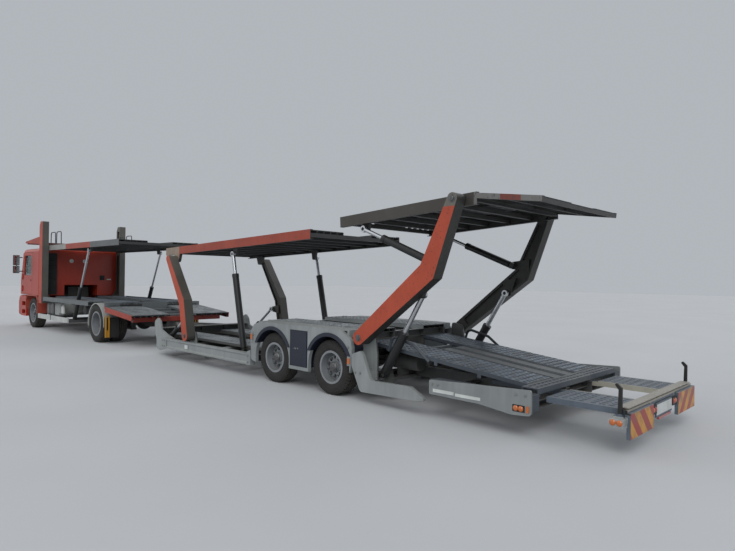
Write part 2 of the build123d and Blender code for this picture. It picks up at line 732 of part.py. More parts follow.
def arch(at, centre_z, inner_r, outer_r, y_low, y_high, lowest):
    """A curved mudguard round a wheel, cut off below a height."""
    with BuildSketch(Plane.XZ.offset(-y_high)) as profile:
        with Locations((x_at(at), centre_z)):
            Circle(outer_r)
            Circle(inner_r, mode=Mode.SUBTRACT)
        with Locations((x_at(at), lowest - outer_r)):
            Rectangle(3 * outer_r, 2 * outer_r, mode=Mode.SUBTRACT)
    extrude(profile.sketch, amount=y_high - y_low)


flap_at = truck_axle_at + 560
with BuildPart() as mudguards:
    for y_low, y_high in both(860, half_width - 10):
        rounded_plate([(850, 560, 0), (850, 880, 110), (990, 1015, 60), (1910, 1015, 60),
                       (2050, 880, 110), (2050, 470, 0), (2025, 470, 0), (2025, 870, 90),
                       (1900, 990, 40), (1000, 990, 40), (875, 870, 90), (875, 560, 0)], y_low, y_high)
    for y_low, y_high in both(track_outer_y, half_width - 5):
        arch(truck_axle_at, truck_tyre_r, 490, 515, y_low, y_high, truck_tyre_r + 20)
        block(truck_axle_at - 515, truck_axle_at - 490, y_low, y_high, 380, truck_tyre_r + 25)
        block(truck_axle_at + 490, truck_axle_at + 515, y_low, y_high, 400, truck_tyre_r + 25)
        block(truck_axle_at + 490, flap_at, y_low + 60, y_high - 60, 560, 590)
        block(flap_at, flap_at + 12, y_low, y_high, 150, 640)
    for y_low, y_high in both(half_width - 115, half_width - 85):
        block(flap_at + 12, flap_at + 45, y_low, y_high, 160, 690)
    for y_low, y_high in both(half_width - 40, half_width - 10):
        block(flap_at + 12, flap_at + 45, y_low, y_high, 160, 690)
    for y_low, y_high in both(half_width - 115, half_width - 10):
        block(flap_at + 12, flap_at + 30, y_low, y_high, 160, 330)
write(mudguards, "mudguards")

# The air intake stack on the cab's back wall, its slats facing rearwards
with BuildPart() as air_intake:
    block(cab_back_at, cab_back_at + 55, -1060, -740, 1060, 2330)
    for number in range(9):
        z = 1520 + 80 * number
        side_plate([(cab_back_at + 50, z), (cab_back_at + 50, z + 44), (cab_back_at + 68, z + 18),
                    (cab_back_at + 68, z)], -1040, -760)
write(air_intake, "air_intake")

# Fuel tank, battery box, bottles, air tanks and the side guards between the axles
underrun_rail = [(half_width - 40, 345), (half_width - 5, 345), (half_width - 5, 480), (half_width - 40, 480)]
with BuildPart() as side_gear:
    for side in (-1, 1):
        with BuildSketch(Plane.YZ.offset(x_at(2620))):
            with Locations((side * (rail_y + 1130) / 2, 650)):
                RectangleRounded(1130 - rail_y, 400, 90)
        extrude(amount=620)
        box_y = sorted((side * rail_y, side * 1120))
        block(3330, 3760, *box_y, 500, 830)
        for number in range(6):
            rib_y = sorted((side * 1118, side * 1132))
            block(3350 + 68 * number, 3376 + 68 * number, *rib_y, 520, 810)
        shelf_y = sorted((side * rail_y, side * 1160))
        block(3790, 4150, *shelf_y, 520, 560)
        block(3790, 4150, *sorted((side * rail_y, side * (rail_y + 30))), 520, rail_bottom + 60)
        for bottle_at in (3880, 3985):
            upright(bottle_at, side * 1090, 560, 760, 44)
            upright(bottle_at, side * 1090, 759, 790, 26)
        for outline in ([(side * y, z) for y, z in underrun_rail],):
            section(outline, ground, 2150, 3300)
            section(outline, ground, 3340, 4750)
        for station in (2600, 4180, 4700):
            arm_y = sorted((side * rail_y, side * (half_width - 40)))
            block(station, station + 40, *arm_y, 350, 420)
            post_y = sorted((side * rail_y, side * (rail_y + 60)))
            block(station, station + 40, *post_y, 350, 640)
        joint_y = sorted((side * (half_width - 60), side * (half_width - 40)))
        block(2640, 4700, *joint_y, 375, 405)
        block(3290, 3350, *joint_y, 360, 465)
        for tank_at in (4860, 5420):
            cross_pin(tank_at, 690, *sorted((side * rail_y, side * 840)), 120)
write(side_gear, "side_gear")

# Lower deck of the truck, with its sloping rear platform and the underrun beam below it
platform_drop = hypot(platform_to - truck_deck_to, platform_front_top - platform_back_top)
platform_plane = Plane(origin=(x_at(truck_deck_to), 0, platform_front_top),
                       x_dir=(platform_to - truck_deck_to, 0, platform_back_top - platform_front_top),
                       z_dir=(platform_front_top - platform_back_top, 0, platform_to - truck_deck_to))
DECK_CROSS_BEAMS = (truck_deck_from, 3400, 4200, 5000, 5700, truck_deck_to - 80)
PLATFORM_CROSS_BEAMS = (160, 640, 1120)
with BuildPart() as truck_lower_deck:
    for outline in mirrored(channel(half_width, half_width - edge_beam_width, truck_deck_top - 120,
                                    truck_deck_top, deck_wall)):
        section(outline, ground, truck_deck_from, truck_axle_at - 520)
        section(outline, ground, truck_axle_at + 520, truck_deck_to)
    for outline in mirrored(planks(track_inner_y, track_outer_y, truck_deck_top)):
        section(outline, ground, truck_deck_from, truck_deck_to)
    for station in DECK_CROSS_BEAMS:
        cross_channel(station, -half_width + deck_wall, half_width - deck_wall, truck_deck_top - 140,
                      truck_deck_top - plank_depth, 80, 8)
    block(truck_axle_at - 520, truck_axle_at - 440, -half_width, half_width, truck_deck_top - 12,
          truck_deck_top)
    block(truck_axle_at + 440, truck_axle_at + 520, -half_width, half_width, truck_deck_top - 12,
          truck_deck_top)
    for outline in mirrored(planks(track_inner_y, half_width - edge_beam_width, 0)):
        section(outline, platform_plane, 0, platform_drop)
    for outline in mirrored(channel(half_width, half_width - edge_beam_width, -120, 0, deck_wall)):
        section(outline, platform_plane, 0, platform_drop)
    for start in PLATFORM_CROSS_BEAMS:
        section([(-half_width + deck_wall, -115), (half_width - deck_wall, -115),
                 (half_width - deck_wall, -plank_depth), (-half_width + deck_wall, -plank_depth)],
                platform_plane, start, start + 70)
    block(truck_deck_to - 12, truck_deck_to, -half_width, half_width, platform_front_top - 130,
          truck_deck_top)
    for outline in mirrored(channel(rail_y, rail_y - rail_width, rail_top, truck_deck_top - plank_depth, 8)):
        section(outline, ground, truck_deck_from, 7300)
    for y_low, y_high in both(640, 680):
        side_plate([(8520, 620), (8520, 760), (8640, 750), (8640, 620)], y_low, y_high)
    block(8530, 8630, -1120, 1120, 600, 700)
write(truck_lower_deck, "truck_lower_deck")

# Masts with their inner guide slots and gussets, and the peak over the cab
with BuildPart() as masts:
    for side in (-1, 1):
        mast_y = sorted((side * mast_inner_y, side * mast_outer_y))
        rounded_plate([(mast_from, mast_foot, 0), (mast_from, mast_top - 130, 40), (mast_from + 90, mast_top, 20),
                       (mast_to, mast_top, 0), (mast_to, mast_foot, 0)], *mast_y)
        slot_y = sorted((side * (mast_inner_y - 1), side * (mast_outer_y - mast_web)))
        block(mast_from + 60, mast_to - 60, *slot_y, truck_deck_top + 60, mast_top - 160,
              mode=Mode.SUBTRACT)
        foot_y = sorted((side * rail_y, side * mast_outer_y))
        block(mast_from, mast_to, *foot_y, mast_foot - 60, mast_foot + 40)
        foot_y = sorted((side * (rail_y - rail_width), side * rail_y))
        block(mast_from, mast_to, *foot_y, rail_top, mast_foot + 40)
        with BuildSketch(Plane.YZ.offset(x_at(mast_from))):
            with BuildLine():
                Polyline((side * (mast_inner_y + 1), mast_foot + 40), (side * (mast_inner_y - 180), mast_foot + 40),
                         (side * (mast_inner_y + 1), mast_foot + 330), close=True)
            make_face()
        extrude(amount=20)
    for y_low, y_high in both(1080, 1110):
        rounded_plate([(mast_from + 1, 2590, 0), (mast_from + 1, 2870, 0), (1500, 2840, 60),
                       (260, 2745, 20), (260, 2690, 20), (1200, 2650, 60)], y_low, y_high)
    side_plate([(mast_from - 60, 2640), (mast_from - 60, 2652), (300, 2712), (300, 2700)],
               -1081, 1081)
    for number in range(7):
        station = 340 + 290 * number
        z = 2700 - (station - 300) * 60 / (mast_from - 360)
        block(station, station + 40, -1081, 1081, z - 45, z + 2)
write(masts, "masts")


def deck_plane(at, z, tilt):
    """A plane lying in a deck: local X runs rearwards along the deck, local Z out of its top."""
    return Plane(origin=(x_at(at), 0, z), x_dir=(cos(radians(tilt)), 0, sin(radians(tilt))),
                 z_dir=(-sin(radians(tilt)), 0, cos(radians(tilt))))


def deck_slab(plane, u_low, u_high, y_low, y_high, w_low, w_high, mode=Mode.ADD):
    """A straight piece of a deck, in the deck's own plane."""
    with BuildSketch(plane.offset(w_low)) as profile:
        with Locations(((u_low + u_high) / 2, (y_low + y_high) / 2)):
            Rectangle(u_high - u_low, y_high - y_low)
    extrude(profile.sketch, amount=w_high - w_low, mode=mode)


def upper_deck(plane, length, ribs):
    """Channel side beams, two tracks of pressed planks and the cross ribs, the top at local Z 0."""
    for outline in mirrored(channel(deck_half_width, deck_half_width - deck_beam_width,
                                    -deck_beam_height, 0, deck_wall)):
        section(outline, plane, 0, length)
    for outline in mirrored(planks(track_inner_y, deck_half_width - deck_wall, -track_recess)):
        section(outline, plane, 8, length - 8)
    rib_top = -track_recess - plank_depth
    for number in range(ribs):
        u = 8 + (length - 16 - rib_width) * number / (ribs - 1)
        half = deck_half_width - deck_wall
        section([(-half, rib_top - rib_depth), (half, rib_top - rib_depth), (half, rib_top),
                 (-half, rib_top)], plane, u, u + rib_width)


def eye_lug(eye, plane_z):
    """A thin rounded plate hanging beside a rod's eye, down from a deck."""
    at, z = eye
    for y_low, y_high in both(cylinder_y - 85, cylinder_y - 34 - lug_gap):
        rounded_plate([(at - 90, plane_z, 0), (at + 90, plane_z, 0), (at + 42, z - 42, 36),
                       (at - 42, z - 42, 36)], y_low, y_high)


with BuildPart() as truck_upper_deck:
    flat = deck_plane(truck_upper_deck_from, truck_upper_deck_top, 0)
    truck_deck_length = truck_upper_deck_to - truck_upper_deck_from
    upper_deck(flat, truck_deck_length, 14)
    for side in (-1, 1):
        slider_y = sorted((side * (deck_half_width - 1), side * (mast_outer_y - mast_web - 5)))
        block(mast_from + 60 + running_gap, mast_to - 60 - running_gap, *slider_y,
              truck_upper_deck_top - slider_height, truck_upper_deck_top)
        for start in RAIL_LOOPS:
            bent_tube([(start, side * loop_y, truck_upper_deck_top - 30),
                       (start + 20, side * loop_y, truck_upper_deck_top + loop_height),
                       (start + 400, side * loop_y, truck_upper_deck_top + loop_height),
                       (start + 420, side * loop_y, truck_upper_deck_top - 30)], 60, 13)
    eye_lug(CYLINDERS["truck_deck"][1], truck_upper_deck_top - track_recess - plank_depth)
write(truck_upper_deck, "truck_upper_deck")

# Rear part's frame: drawbar with its eye, low floor, cross members, leg plates and pivots
drawbar_fork_at = 8720
drawbar_back_at = 9800
drawbar_end_y = 640
with BuildPart() as trailer_frame:
    with BuildSketch(Plane.XY.offset(pivot_eye_bottom)):
        with Locations((x_at(pivot_at), 0)):
            Circle(pivot_eye_r)
        with Locations((x_at((pivot_at + drawbar_fork_at + 60) / 2), 0)):
            Rectangle(drawbar_fork_at + 60 - pivot_at, 170)
        with Locations((x_at((drawbar_fork_at + drawbar_back_at) / 2), 0)):
            Rectangle(drawbar_back_at - drawbar_fork_at, 90)
        for side in (-1, 1):
            with BuildLine():
                Polyline((x_at(drawbar_fork_at), side * 20), (x_at(drawbar_fork_at), side * 120),
                         (x_at(drawbar_back_at), side * drawbar_end_y),
                         (x_at(drawbar_back_at), side * (drawbar_end_y - 110)), close=True)
            make_face()
        with Locations((x_at(pivot_at), 0)):
            Circle(pivot_pin_r + running_gap, mode=Mode.SUBTRACT)
    extrude(amount=pivot_eye_top - pivot_eye_bottom)
    cross_channel(9750, -1080, 1080, 310, 570, 200, 14)
    block(9750, 9960, -1080, -1062, 310, 570)
    block(9750, 9960, 1062, 1080, 310, 570)
    for y_low, y_high in both(1075, 1110):
        rounded_plate([(9700, 560, 20), (9700, 700, 60), (9850, 790, 60), (9960, 700, 40), (10010, 540, 60),
                       (10300, 450, 80), (10520, 400, 0), (10520, 212, 0), (10250, 180, 60),
                       (9960, 110, 60), (9790, 130, 60), (9790, 330, 40)], y_low, y_high)
    for y_low, y_high in both(1055, half_width):
        block(side_rail_from, side_rail_from + 220, y_low, y_high, side_rail_bottom, side_rail_top)
    for outline in mirrored(SIDE_RAIL):
        section(outline, ground, side_rail_from, side_rail_to)
    for y_low, y_high in both(half_width - 100, half_width):
        rounded_plate([(side_rail_to - 110, side_rail_bottom - 5, 20), (side_rail_to - 110, side_rail_top + 25, 20),
                       (side_rail_to - 1, side_rail_top + 60, 0), (side_rail_to - 1, side_rail_bottom - 5, 20)],
                      y_low, y_high)
        block(side_rail_from, side_rail_from + 30, y_low, y_high, side_rail_bottom, side_rail_top)
    for outline in mirrored(channel(360, 280, 250, 400, 10)):
        section(outline, ground, 9900, housing_from + 60)
    for outline in mirrored(channel(360, 280, 475, 560, 10)):
        section(outline, ground, housing_from, 16100)
    for outline in mirrored(channel(360, 280, 300, rear_channel_top, 10)):
        section(outline, ground, 16000, rear_beam_to - 20)
    for y_low, y_high in both(280, 360):
        block(housing_from, housing_from + 100, y_low, y_high, 250, 560)
        block(16000, 16100, y_low, y_high, 300, 560)
    for station in (10350, 11300, 12300, 13350):
        cross_channel(station, -half_width + 50, half_width - 50, 250, 360, 90, 10)
    for outline in mirrored(planks(track_inner_y, track_outer_y, low_floor_top)):
        section(outline, ground, 9950, housing_from + 20)
    for y_low, y_high in both(300, 340):
        block(10250, 13300, y_low, y_high, 399, 430)
    for y_low, y_high in both(1020, 1060):
        rounded_plate([(15930, 980, 40), (16130, 940, 60), (16190, 640, 60), (16190, 300, 0),
                       (15930, 300, 0)], y_low, y_high)
    leg_outline = [(15895, 640, 20), (16060, 700, 30), (16110, 640, 40), (16250, 325, 90), (16930, 340, 40),
                   (17130, 240, 30), (17160, 200, 20), (16970, 175, 60), (16060, 150, 60), (15895, 480, 30)]
    for y_low, y_high in both(half_width - 50, half_width):
        rounded_plate(leg_outline, y_low, y_high)
    for y_low, y_high in both(1050, half_width - 45):
        block(15940, 16140, y_low, y_high, 300, 420)
    for station in (16000, 17300, 18400):
        cross_channel(station, -1060, 1060, 290, tail_rail_bottom, 90, 10)
    for y_low, y_high in both(1020, half_width):
        cross_pin(*arm_base, y_low, y_high, 45)
        cross_pin(*post_base, y_low, y_high, 40)
    for y_low, y_high in both(1020, 1060):
        rounded_plate([(11100, 250, 0), (11400, 250, 0), (11320, 590, 60), (11180, 590, 60)],
                      y_low, y_high)
    for name in ("front_deck", "brace", "arm"):
        base_at, base_z = CYLINDERS[name][0]
        for y_low, y_high in both(cylinder_y - 140, cylinder_y - CYLINDERS[name][3] - lug_gap):
            rounded_plate([(base_at - 75, 200, 0), (base_at + 75, 200, 0), (base_at + 42, base_z + 46, 36),
                           (base_at - 42, base_z + 46, 36)], y_low, y_high)
        for y_low, y_high in both(cylinder_y - 100, cylinder_y + eye_width / 2):
            cross_pin(base_at, base_z, y_low, y_high, eye_bore_r - running_gap)
    block(12865, 12975, -1200, 1200, 262, 330)
    block(16215, 16325, -920, 920, 290, 330)
    block(9985, 10095, -920, 920, 200, 300)
    for y in (-600, 600):
        with BuildSketch(Plane.YZ.offset(x_at(16120))):
            with Locations((y, 530)):
                Circle(110)
        extrude(amount=480)
        block(16240, 16300, y - 90, y + 90, 325, 480)
write(trailer_frame, "trailer_frame")

# Wheel housing: outer panels with arches, inner walls, the high deck and the brackets at its ends
panel_y = half_width - 12
band_r = 500
band_from_z = 600
with BuildPart() as wheel_housing:
    panel = [(housing_from, housing_bottom + 30, 60), (housing_from, 800, 30), (13570, 900, 80),
             (13760, housing_top, 90), (15640, housing_top, 120), (15850, 840, 90), (housing_to, 720, 30),
             (housing_to, 500, 20), (15830, housing_bottom + 60, 40), (15700, housing_bottom, 0),
             (13600, housing_bottom, 0)]
    for y_low, y_high in both(half_width - 70, panel_y):
        rounded_plate(panel, y_low, y_high)
        for station in trailer_axles_at:
            cross_pin(station, trailer_tyre_r, y_low - 1, y_high + 1, arch_r, mode=Mode.SUBTRACT)
            block(station - arch_r, station + arch_r, y_low - 1, y_high + 1, 0, trailer_tyre_r,
                  mode=Mode.SUBTRACT)
            with BuildSketch(Plane.XZ.offset(-y_high - 1)):
                with Locations((x_at(station), trailer_tyre_r)):
                    Circle(band_r + running_gap)
                with Locations((x_at(station), band_from_z - band_r)):
                    Rectangle(3 * band_r, 2 * band_r, mode=Mode.SUBTRACT)
            extrude(amount=y_high - y_low + 2, mode=Mode.SUBTRACT)
        block(box_door_from - running_gap, box_door_to + running_gap, y_low - 1, y_high + 1,
              locker_bottom - running_gap, locker_top + running_gap, mode=Mode.SUBTRACT)
    for y_low, y_high in both(860, 900):
        block(housing_from, housing_to, y_low, y_high, 520, housing_top)
    for y_low, y_high in both(880, half_width - 60):
        block(13640, 15780, y_low, y_high, housing_top - 12, housing_top)
        for station in (13640, 14460, 14980, 15740):
            block(station, station + 40, y_low, y_high, 850, housing_top)
    for outline in mirrored(planks(track_inner_y, 880, housing_top)):
        section(outline, ground, 13560, 15880)
    for outline in mirrored(channel(360, 280, 560, housing_top - plank_depth, 10)):
        section(outline, ground, 13560, 15880)
    for station in (13600, 14680, 15790):
        cross_channel(station, -870, 870, 560, 660, 80, 10)
        cross_channel(station, -870, 870, 800, housing_top - plank_depth, 80, 10)
    for y_low, y_high in both(panel_y - 30, half_width - 1):
        block(15800, 15870, y_low, y_high, 470, band_from_z - 2)
        block(13488, 13540, y_low, y_high, 600, 780)
write(wheel_housing, "wheel_housing")

# Dark mudguard bands seated in the arches
with BuildPart() as rear_mudguards:
    for y_low, y_high in both(920, half_width):
        for station in trailer_axles_at:
            arch(station, trailer_tyre_r, arch_r + 5, band_r, y_low, y_high, band_from_z + running_gap)
write(rear_mudguards, "rear_mudguards")

# Lockers between the wheels, their doors flush in the panels
with BuildPart() as lockers:
    for y_low, y_high in both(920, panel_y - 6):
        block(box_door_from, box_door_to, y_low, y_high, locker_bottom, locker_top)
    for y_low, y_high in both(panel_y - 7, panel_y):
        block(box_door_from + 25, box_door_to - 25, y_low, y_high, locker_bottom + 25, locker_top - 25)
        block(box_door_from + 60, box_door_from + 200, y_low, y_high + 11, 590, 612)
write(lockers, "lockers")

# Trailer axles on leaf springs
with BuildPart() as trailer_axles:
    for station in trailer_axles_at:
        cross_pin(station, trailer_tyre_r, -900, 900, 62)
        cross_pin(station, trailer_tyre_r, -1125, 1125, spindle_r)
        for y_low, y_high in both(290, 350):
            block(station - 60, station + 60, y_low, y_high, 410, 452)
            side_plate([(station - 420, 475), (station + 420, 475), (station + 420, 462), (station + 90, 436),
                        (station - 90, 436), (station - 420, 462)], y_low, y_high)
write(trailer_axles, "trailer_axles")

# Rear lower deck: sloping tracks, stowed ramps between them, perforated end piece, side beams
end_piece_from = rear_floor_to - 200
slope_length = hypot(end_piece_from - rear_floor_from, rear_floor_front_top - rear_floor_back_top)
slope_plane = Plane(origin=(x_at(rear_floor_from), 0, rear_floor_front_top),
                    x_dir=(end_piece_from - rear_floor_from, 0, rear_floor_back_top - rear_floor_front_top),
                    z_dir=(rear_floor_front_top - rear_floor_back_top, 0, end_piece_from - rear_floor_from))
RAMPS = ((-290, -20), (20, 290))
slope_rib_depth = 42
slot_length = 62
slot_width = 34
slot_pitch_x = 92
slot_pitch_y = 84
hoop_y = track_outer_y + 5
with BuildPart() as rear_lower_deck:
    for outline in mirrored(planks(track_inner_y, track_outer_y, 0)):
        section(outline, slope_plane, 0, slope_length)
    for start, depth in ((500, slope_rib_depth), (1150, slope_rib_depth), (1800, slope_rib_depth),
                         (slope_length - 60, slope_rib_depth - 6)):
        section([(-track_outer_y, -plank_depth - depth), (track_outer_y, -plank_depth - depth),
                 (track_outer_y, -plank_depth), (-track_outer_y, -plank_depth)],
                slope_plane, start, start + 50)
    for y_low, y_high in RAMPS:
        section([(y_low, -plank_depth), (y_high, -plank_depth), (y_high, 5), (y_high - 12, 5),
                 (y_high - 12, -8), (y_low + 12, -8), (y_low + 12, 5), (y_low, 5)],
                slope_plane, 780, slope_length)
    block(end_piece_from, rear_floor_to, -1060, 1060, rear_floor_back_top - 12, rear_floor_back_top)
    block(end_piece_from, end_piece_from + 14, -1060, 1060, rear_floor_back_top - 60, rear_floor_back_top)
    block(rear_floor_to - 14, rear_floor_to, -1060, 1060, rear_floor_back_top - 60, rear_floor_back_top)
    with BuildSketch(Plane.XY.offset(rear_floor_back_top + 1)):
        with Locations((x_at(end_piece_from + 100), 0)):
            with GridLocations(slot_pitch_y, slot_pitch_x, 2, 22):
                Rectangle(slot_width, slot_length)
    extrude(amount=-14, mode=Mode.SUBTRACT)
    beam = [(rear_beam_from, 470, 20), (rear_beam_to, 530, 20), (rear_beam_to, 262, 30), (18330, 245, 60),
            (17930, 292, 120), (rear_beam_from, 300, 20)]
    for y_low, y_high in both(half_width - 30, half_width):
        rounded_plate(beam, y_low, y_high)
    for y_low, y_high in both(half_width - 190, half_width - 29):
        block(rear_beam_from, rear_beam_to, y_low, y_high, 440, 470)
        for station in (rear_beam_from, 17800, rear_beam_to - 20):
            block(station, station + 20, y_low, y_high, 300, 470)
    for y_low, y_high in both(280, 360):
        side_plate([(15950, 560), (15950, 740), (16300, 700), (16500, rear_channel_top + running_gap),
                    (16100, rear_channel_top + running_gap), (16100, 560)],
                   y_low, y_high)
    for side in (-1, 1):
        bent_tube([(16270, side * hoop_y, 690), (16330, side * hoop_y, 900), (16700, side * hoop_y, 810),
                   (16960, side * hoop_y, 620)], 90, 20)
        block(16240, 16300, *sorted((side * (hoop_y - 35), side * (hoop_y + 20))), 700, 715)
write(rear_lower_deck, "rear_lower_deck")

# Slide-out tail: perforated tracks on two rails, the cross beam, marker boards, handles and lamps
tail_plate = 10
with BuildPart() as tail:
    for side in (-1, 1):
        track_y = sorted((side * (track_inner_y + 60), side * tail_half_width))
        middle_y = sum(track_y) / 2
        block(18600, 19420, *track_y, tail_top - tail_plate, tail_top)
        for edge_y in (track_inner_y + 60, tail_half_width - 12):
            edge = sorted((side * edge_y, side * (edge_y + 12)))
            block(18600, 19420, *edge, tail_top - 60, tail_top)
        for station in (18600, 19000, 19400):
            block(station, station + 12, *track_y, tail_top - 60, tail_top)
        with BuildSketch(Plane.XY.offset(tail_top + 1)):
            for centre_at in (18806, 19206):
                with Locations((x_at(centre_at), middle_y)):
                    with GridLocations(slot_pitch_x, slot_pitch_y, 4, 6):
                        Rectangle(slot_length, slot_width)
        extrude(amount=-tail_plate - 2, mode=Mode.SUBTRACT)
        rail_y_pair = sorted((side * (track_inner_y + 60), side * (track_inner_y + 130)))
        block(17620, 18610, *rail_y_pair, tail_rail_bottom + running_gap, tail_top - 12)
        board_y = sorted((side * 420, side * 1080))
        rounded_plate([(19462, 175, 6), (19462, 425, 6), (tail_to, 425, 6), (tail_to, 175, 6)], *board_y)
        handle_y = sorted((side * 1062, side * 1088))
        rounded_plate([(19380, 380, 0), (19388, 640, 12), (19350, 690, 12), (19372, 705, 8),
                       (19420, 660, 12), (19420, 380, 0)], *handle_y)
        lamp_y = sorted((side * 990, side * 1150))
        rounded_plate([(19320, 300, 12), (19320, 372, 12), (19458, 372, 12), (19458, 300, 12)], *lamp_y)
        block(19340, 19430, *sorted((side * 1000, side * 1088)), 371, tail_top - 50)
    cross_channel(19360, -1020, 1020, tail_top - 90, tail_top + 30, 102, 10)
    block(19440, 19462, -1060, 1060, tail_top - 110, tail_top + 10)
    block(19462, 19478, -260, 260, 250, 400)
write(tail, "tail")


def thick_line(points, widths):
    """The outline of a bent bar: (station, height) points down its middle and its width at each."""
    left = []
    right = []
    for number, (at, z) in enumerate(points):
        before = points[max(number - 1, 0)]
        after = points[min(number + 1, len(points) - 1)]
        length = hypot(after[0] - before[0], after[1] - before[1])
        normal = (-(after[1] - before[1]) / length, (after[0] - before[0]) / length)
        half = widths[number] / 2
        left.append((at + normal[0] * half, z + normal[1] * half))
        right.append((at - normal[0] * half, z - normal[1] * half))
    return left + right[::-1]


# Front posts, bent like a boomerang: box sections with pivot bosses and the brace lugs
with BuildPart() as front_posts:
    post_line = thick_line([post_base, post_elbow, post_top], [post_width, post_width, 130])
    for y_low, y_high in both(outboard_inner_y, half_width):
        side_plate(post_line, y_low, y_high)
        cross_pin(*post_base, y_low, y_high, post_width / 2)
        cross_pin(*post_top, y_low, y_high, 65)
        cross_pin(*post_base, y_low - 1, y_high + 1, 40 + running_gap, mode=Mode.SUBTRACT)
    for side in (-1, 1):
        inner = thick_line([(post_base[0] - 14, 640), post_elbow, (post_top[0] + 40, 1930)],
                           [post_width - 60, post_width - 60, 70])
        side_plate(inner, *sorted((side * (outboard_inner_y - 1), side * (outboard_inner_y + 30))),
                   mode=Mode.SUBTRACT)
    for y_low, y_high in both(deck_half_width - deck_beam_width, outboard_inner_y + 60):
        cross_pin(*post_top, y_low, y_high, 35)
    eye_at, eye_z = CYLINDERS["brace"][1]
    for y_low, y_high in both(cylinder_y + 45, outboard_inner_y + 40):
        rounded_plate([(eye_at - 55, eye_z - 52, 40), (eye_at - 55, eye_z + 52, 40),
                       (eye_at + 200, eye_z + 90, 0), (eye_at + 200, eye_z - 90, 0)], y_low, y_high)
write(front_posts, "front_posts")

front_plane = deck_plane(front_deck_from, post_top[1] + front_deck_rise
                         + deck_beam_height - (post_top[0] - front_deck_from) * sin(radians(front_deck_tilt)),
                         front_deck_tilt)
with BuildPart() as front_upper_deck:
    upper_deck(front_plane, front_deck_to - front_deck_from, 12)
    for y_low, y_high in both(deck_half_width - deck_beam_width, deck_half_width):
        rounded_plate([(post_top[0] - 130, post_top[1] + 130, 0), (post_top[0] + 130, post_top[1] + 130, 0),
                       (post_top[0] + 62, post_top[1] - 66, 55), (post_top[0] - 62, post_top[1] - 66, 55)],
                      y_low, y_high)
        cross_pin(*post_top, y_low - 1, y_high + 1, 35 + running_gap, mode=Mode.SUBTRACT)
    eye_lug(CYLINDERS["front_deck"][1], 2292)
write(front_upper_deck, "front_upper_deck")

# Rear arms, bent at the elbow: box sections with bosses, cylinder lugs and the tilt brackets
with BuildPart() as rear_arms:
    arm_line = thick_line([arm_base, arm_elbow, arm_top], [190, 260, 140])
    for y_low, y_high in both(outboard_inner_y, half_width):
        side_plate(arm_line, y_low, y_high)
        cross_pin(*arm_base, y_low, y_high, 95)
        cross_pin(*arm_top, y_low, y_high, 70)
        cross_pin(*arm_base, y_low - 1, y_high + 1, 45 + running_gap, mode=Mode.SUBTRACT)
    for side in (-1, 1):
        inner = thick_line([(16170, 994), arm_elbow, (17470, 2490)], [110, 190, 80])
        side_plate(inner, *sorted((side * (outboard_inner_y - 1), side * (outboard_inner_y + 30))),
                   mode=Mode.SUBTRACT)
    for y_low, y_high in both(deck_half_width - deck_beam_width, outboard_inner_y + 60):
        cross_pin(*arm_top, y_low, y_high, 40)
    eye_at, eye_z = CYLINDERS["arm"][1]
    for y_low, y_high in both(cylinder_y + 45, outboard_inner_y + 40):
        rounded_plate([(eye_at - 62, eye_z - 46, 40), (eye_at - 62, eye_z + 200, 0),
                       (eye_at + 150, eye_z + 230, 0), (eye_at + 60, eye_z - 46, 40)], y_low, y_high)
    base_at, base_z = CYLINDERS["tilt"][0]
    for y_low, y_high in both(cylinder_y + 58, outboard_inner_y + 40):
        rounded_plate([(base_at - 50, base_z - 52, 40), (base_at - 50, base_z + 52, 40),
                       (base_at + 260, base_z + 90, 0), (base_at + 260, base_z - 90, 0)], y_low, y_high)
    for y_low, y_high in both(cylinder_y - eye_width / 2, outboard_inner_y + 10):
        cross_pin(base_at, base_z, y_low, y_high, eye_bore_r - running_gap)
write(rear_arms, "rear_arms")

rear_plane = deck_plane(rear_deck_from, arm_top[1] + rear_deck_rise
                        - (arm_top[0] - rear_deck_from) * sin(radians(rear_deck_tilt)), rear_deck_tilt)
flap_at = rear_deck_from + (rear_deck_to - rear_deck_from) * cos(radians(rear_deck_tilt))
flap_z = rear_plane.origin.Z + (rear_deck_to - rear_deck_from) * sin(radians(rear_deck_tilt))
with BuildPart() as rear_upper_deck:
    upper_deck(rear_plane, rear_deck_to - rear_deck_from, 7)
    for y_low, y_high in both(deck_half_width - deck_beam_width, deck_half_width):
        cross_pin(*arm_top, y_low, y_high, 68)
        cross_pin(*arm_top, y_low - 1, y_high + 1, 40 + running_gap, mode=Mode.SUBTRACT)
    flap_plane = deck_plane(flap_at - 40, flap_z - 10, -rear_flap_drop)
    flap_length = rear_flap_to - flap_at + 40
    for outline in mirrored(channel(deck_half_width, deck_half_width - deck_beam_width, -64, 0, deck_wall)):
        section(outline, flap_plane, 0, flap_length)
    for outline in mirrored(planks(track_inner_y, deck_half_width - deck_wall, -track_recess)):
        section(outline, flap_plane, 0, flap_length)
    for start in (20, flap_length / 2, flap_length - 44):
        half = deck_half_width - deck_wall
        section([(-half, -64), (half, -64), (half, -track_recess - plank_sheet),
                 (-half, -track_recess - plank_sheet)], flap_plane, start, start + rib_width)
    eye_lug(CYLINDERS["tilt"][1], 2550)
write(rear_upper_deck, "rear_upper_deck")


# Lift cylinders in pairs: a hollow barrel on its pin, and a rod with its piston and eye
def cylinder_frame(base, eye, y):
    """A plane at a barrel's pin whose normal runs along the rod."""
    length = hypot(eye[0] - base[0], eye[1] - base[1])
    along = ((eye[0] - base[0]) / length, 0, (eye[1] - base[1]) / length)
    return Plane(origin=(x_at(base[0]), y, base[1]), x_dir=(0, 1, 0), z_dir=along)


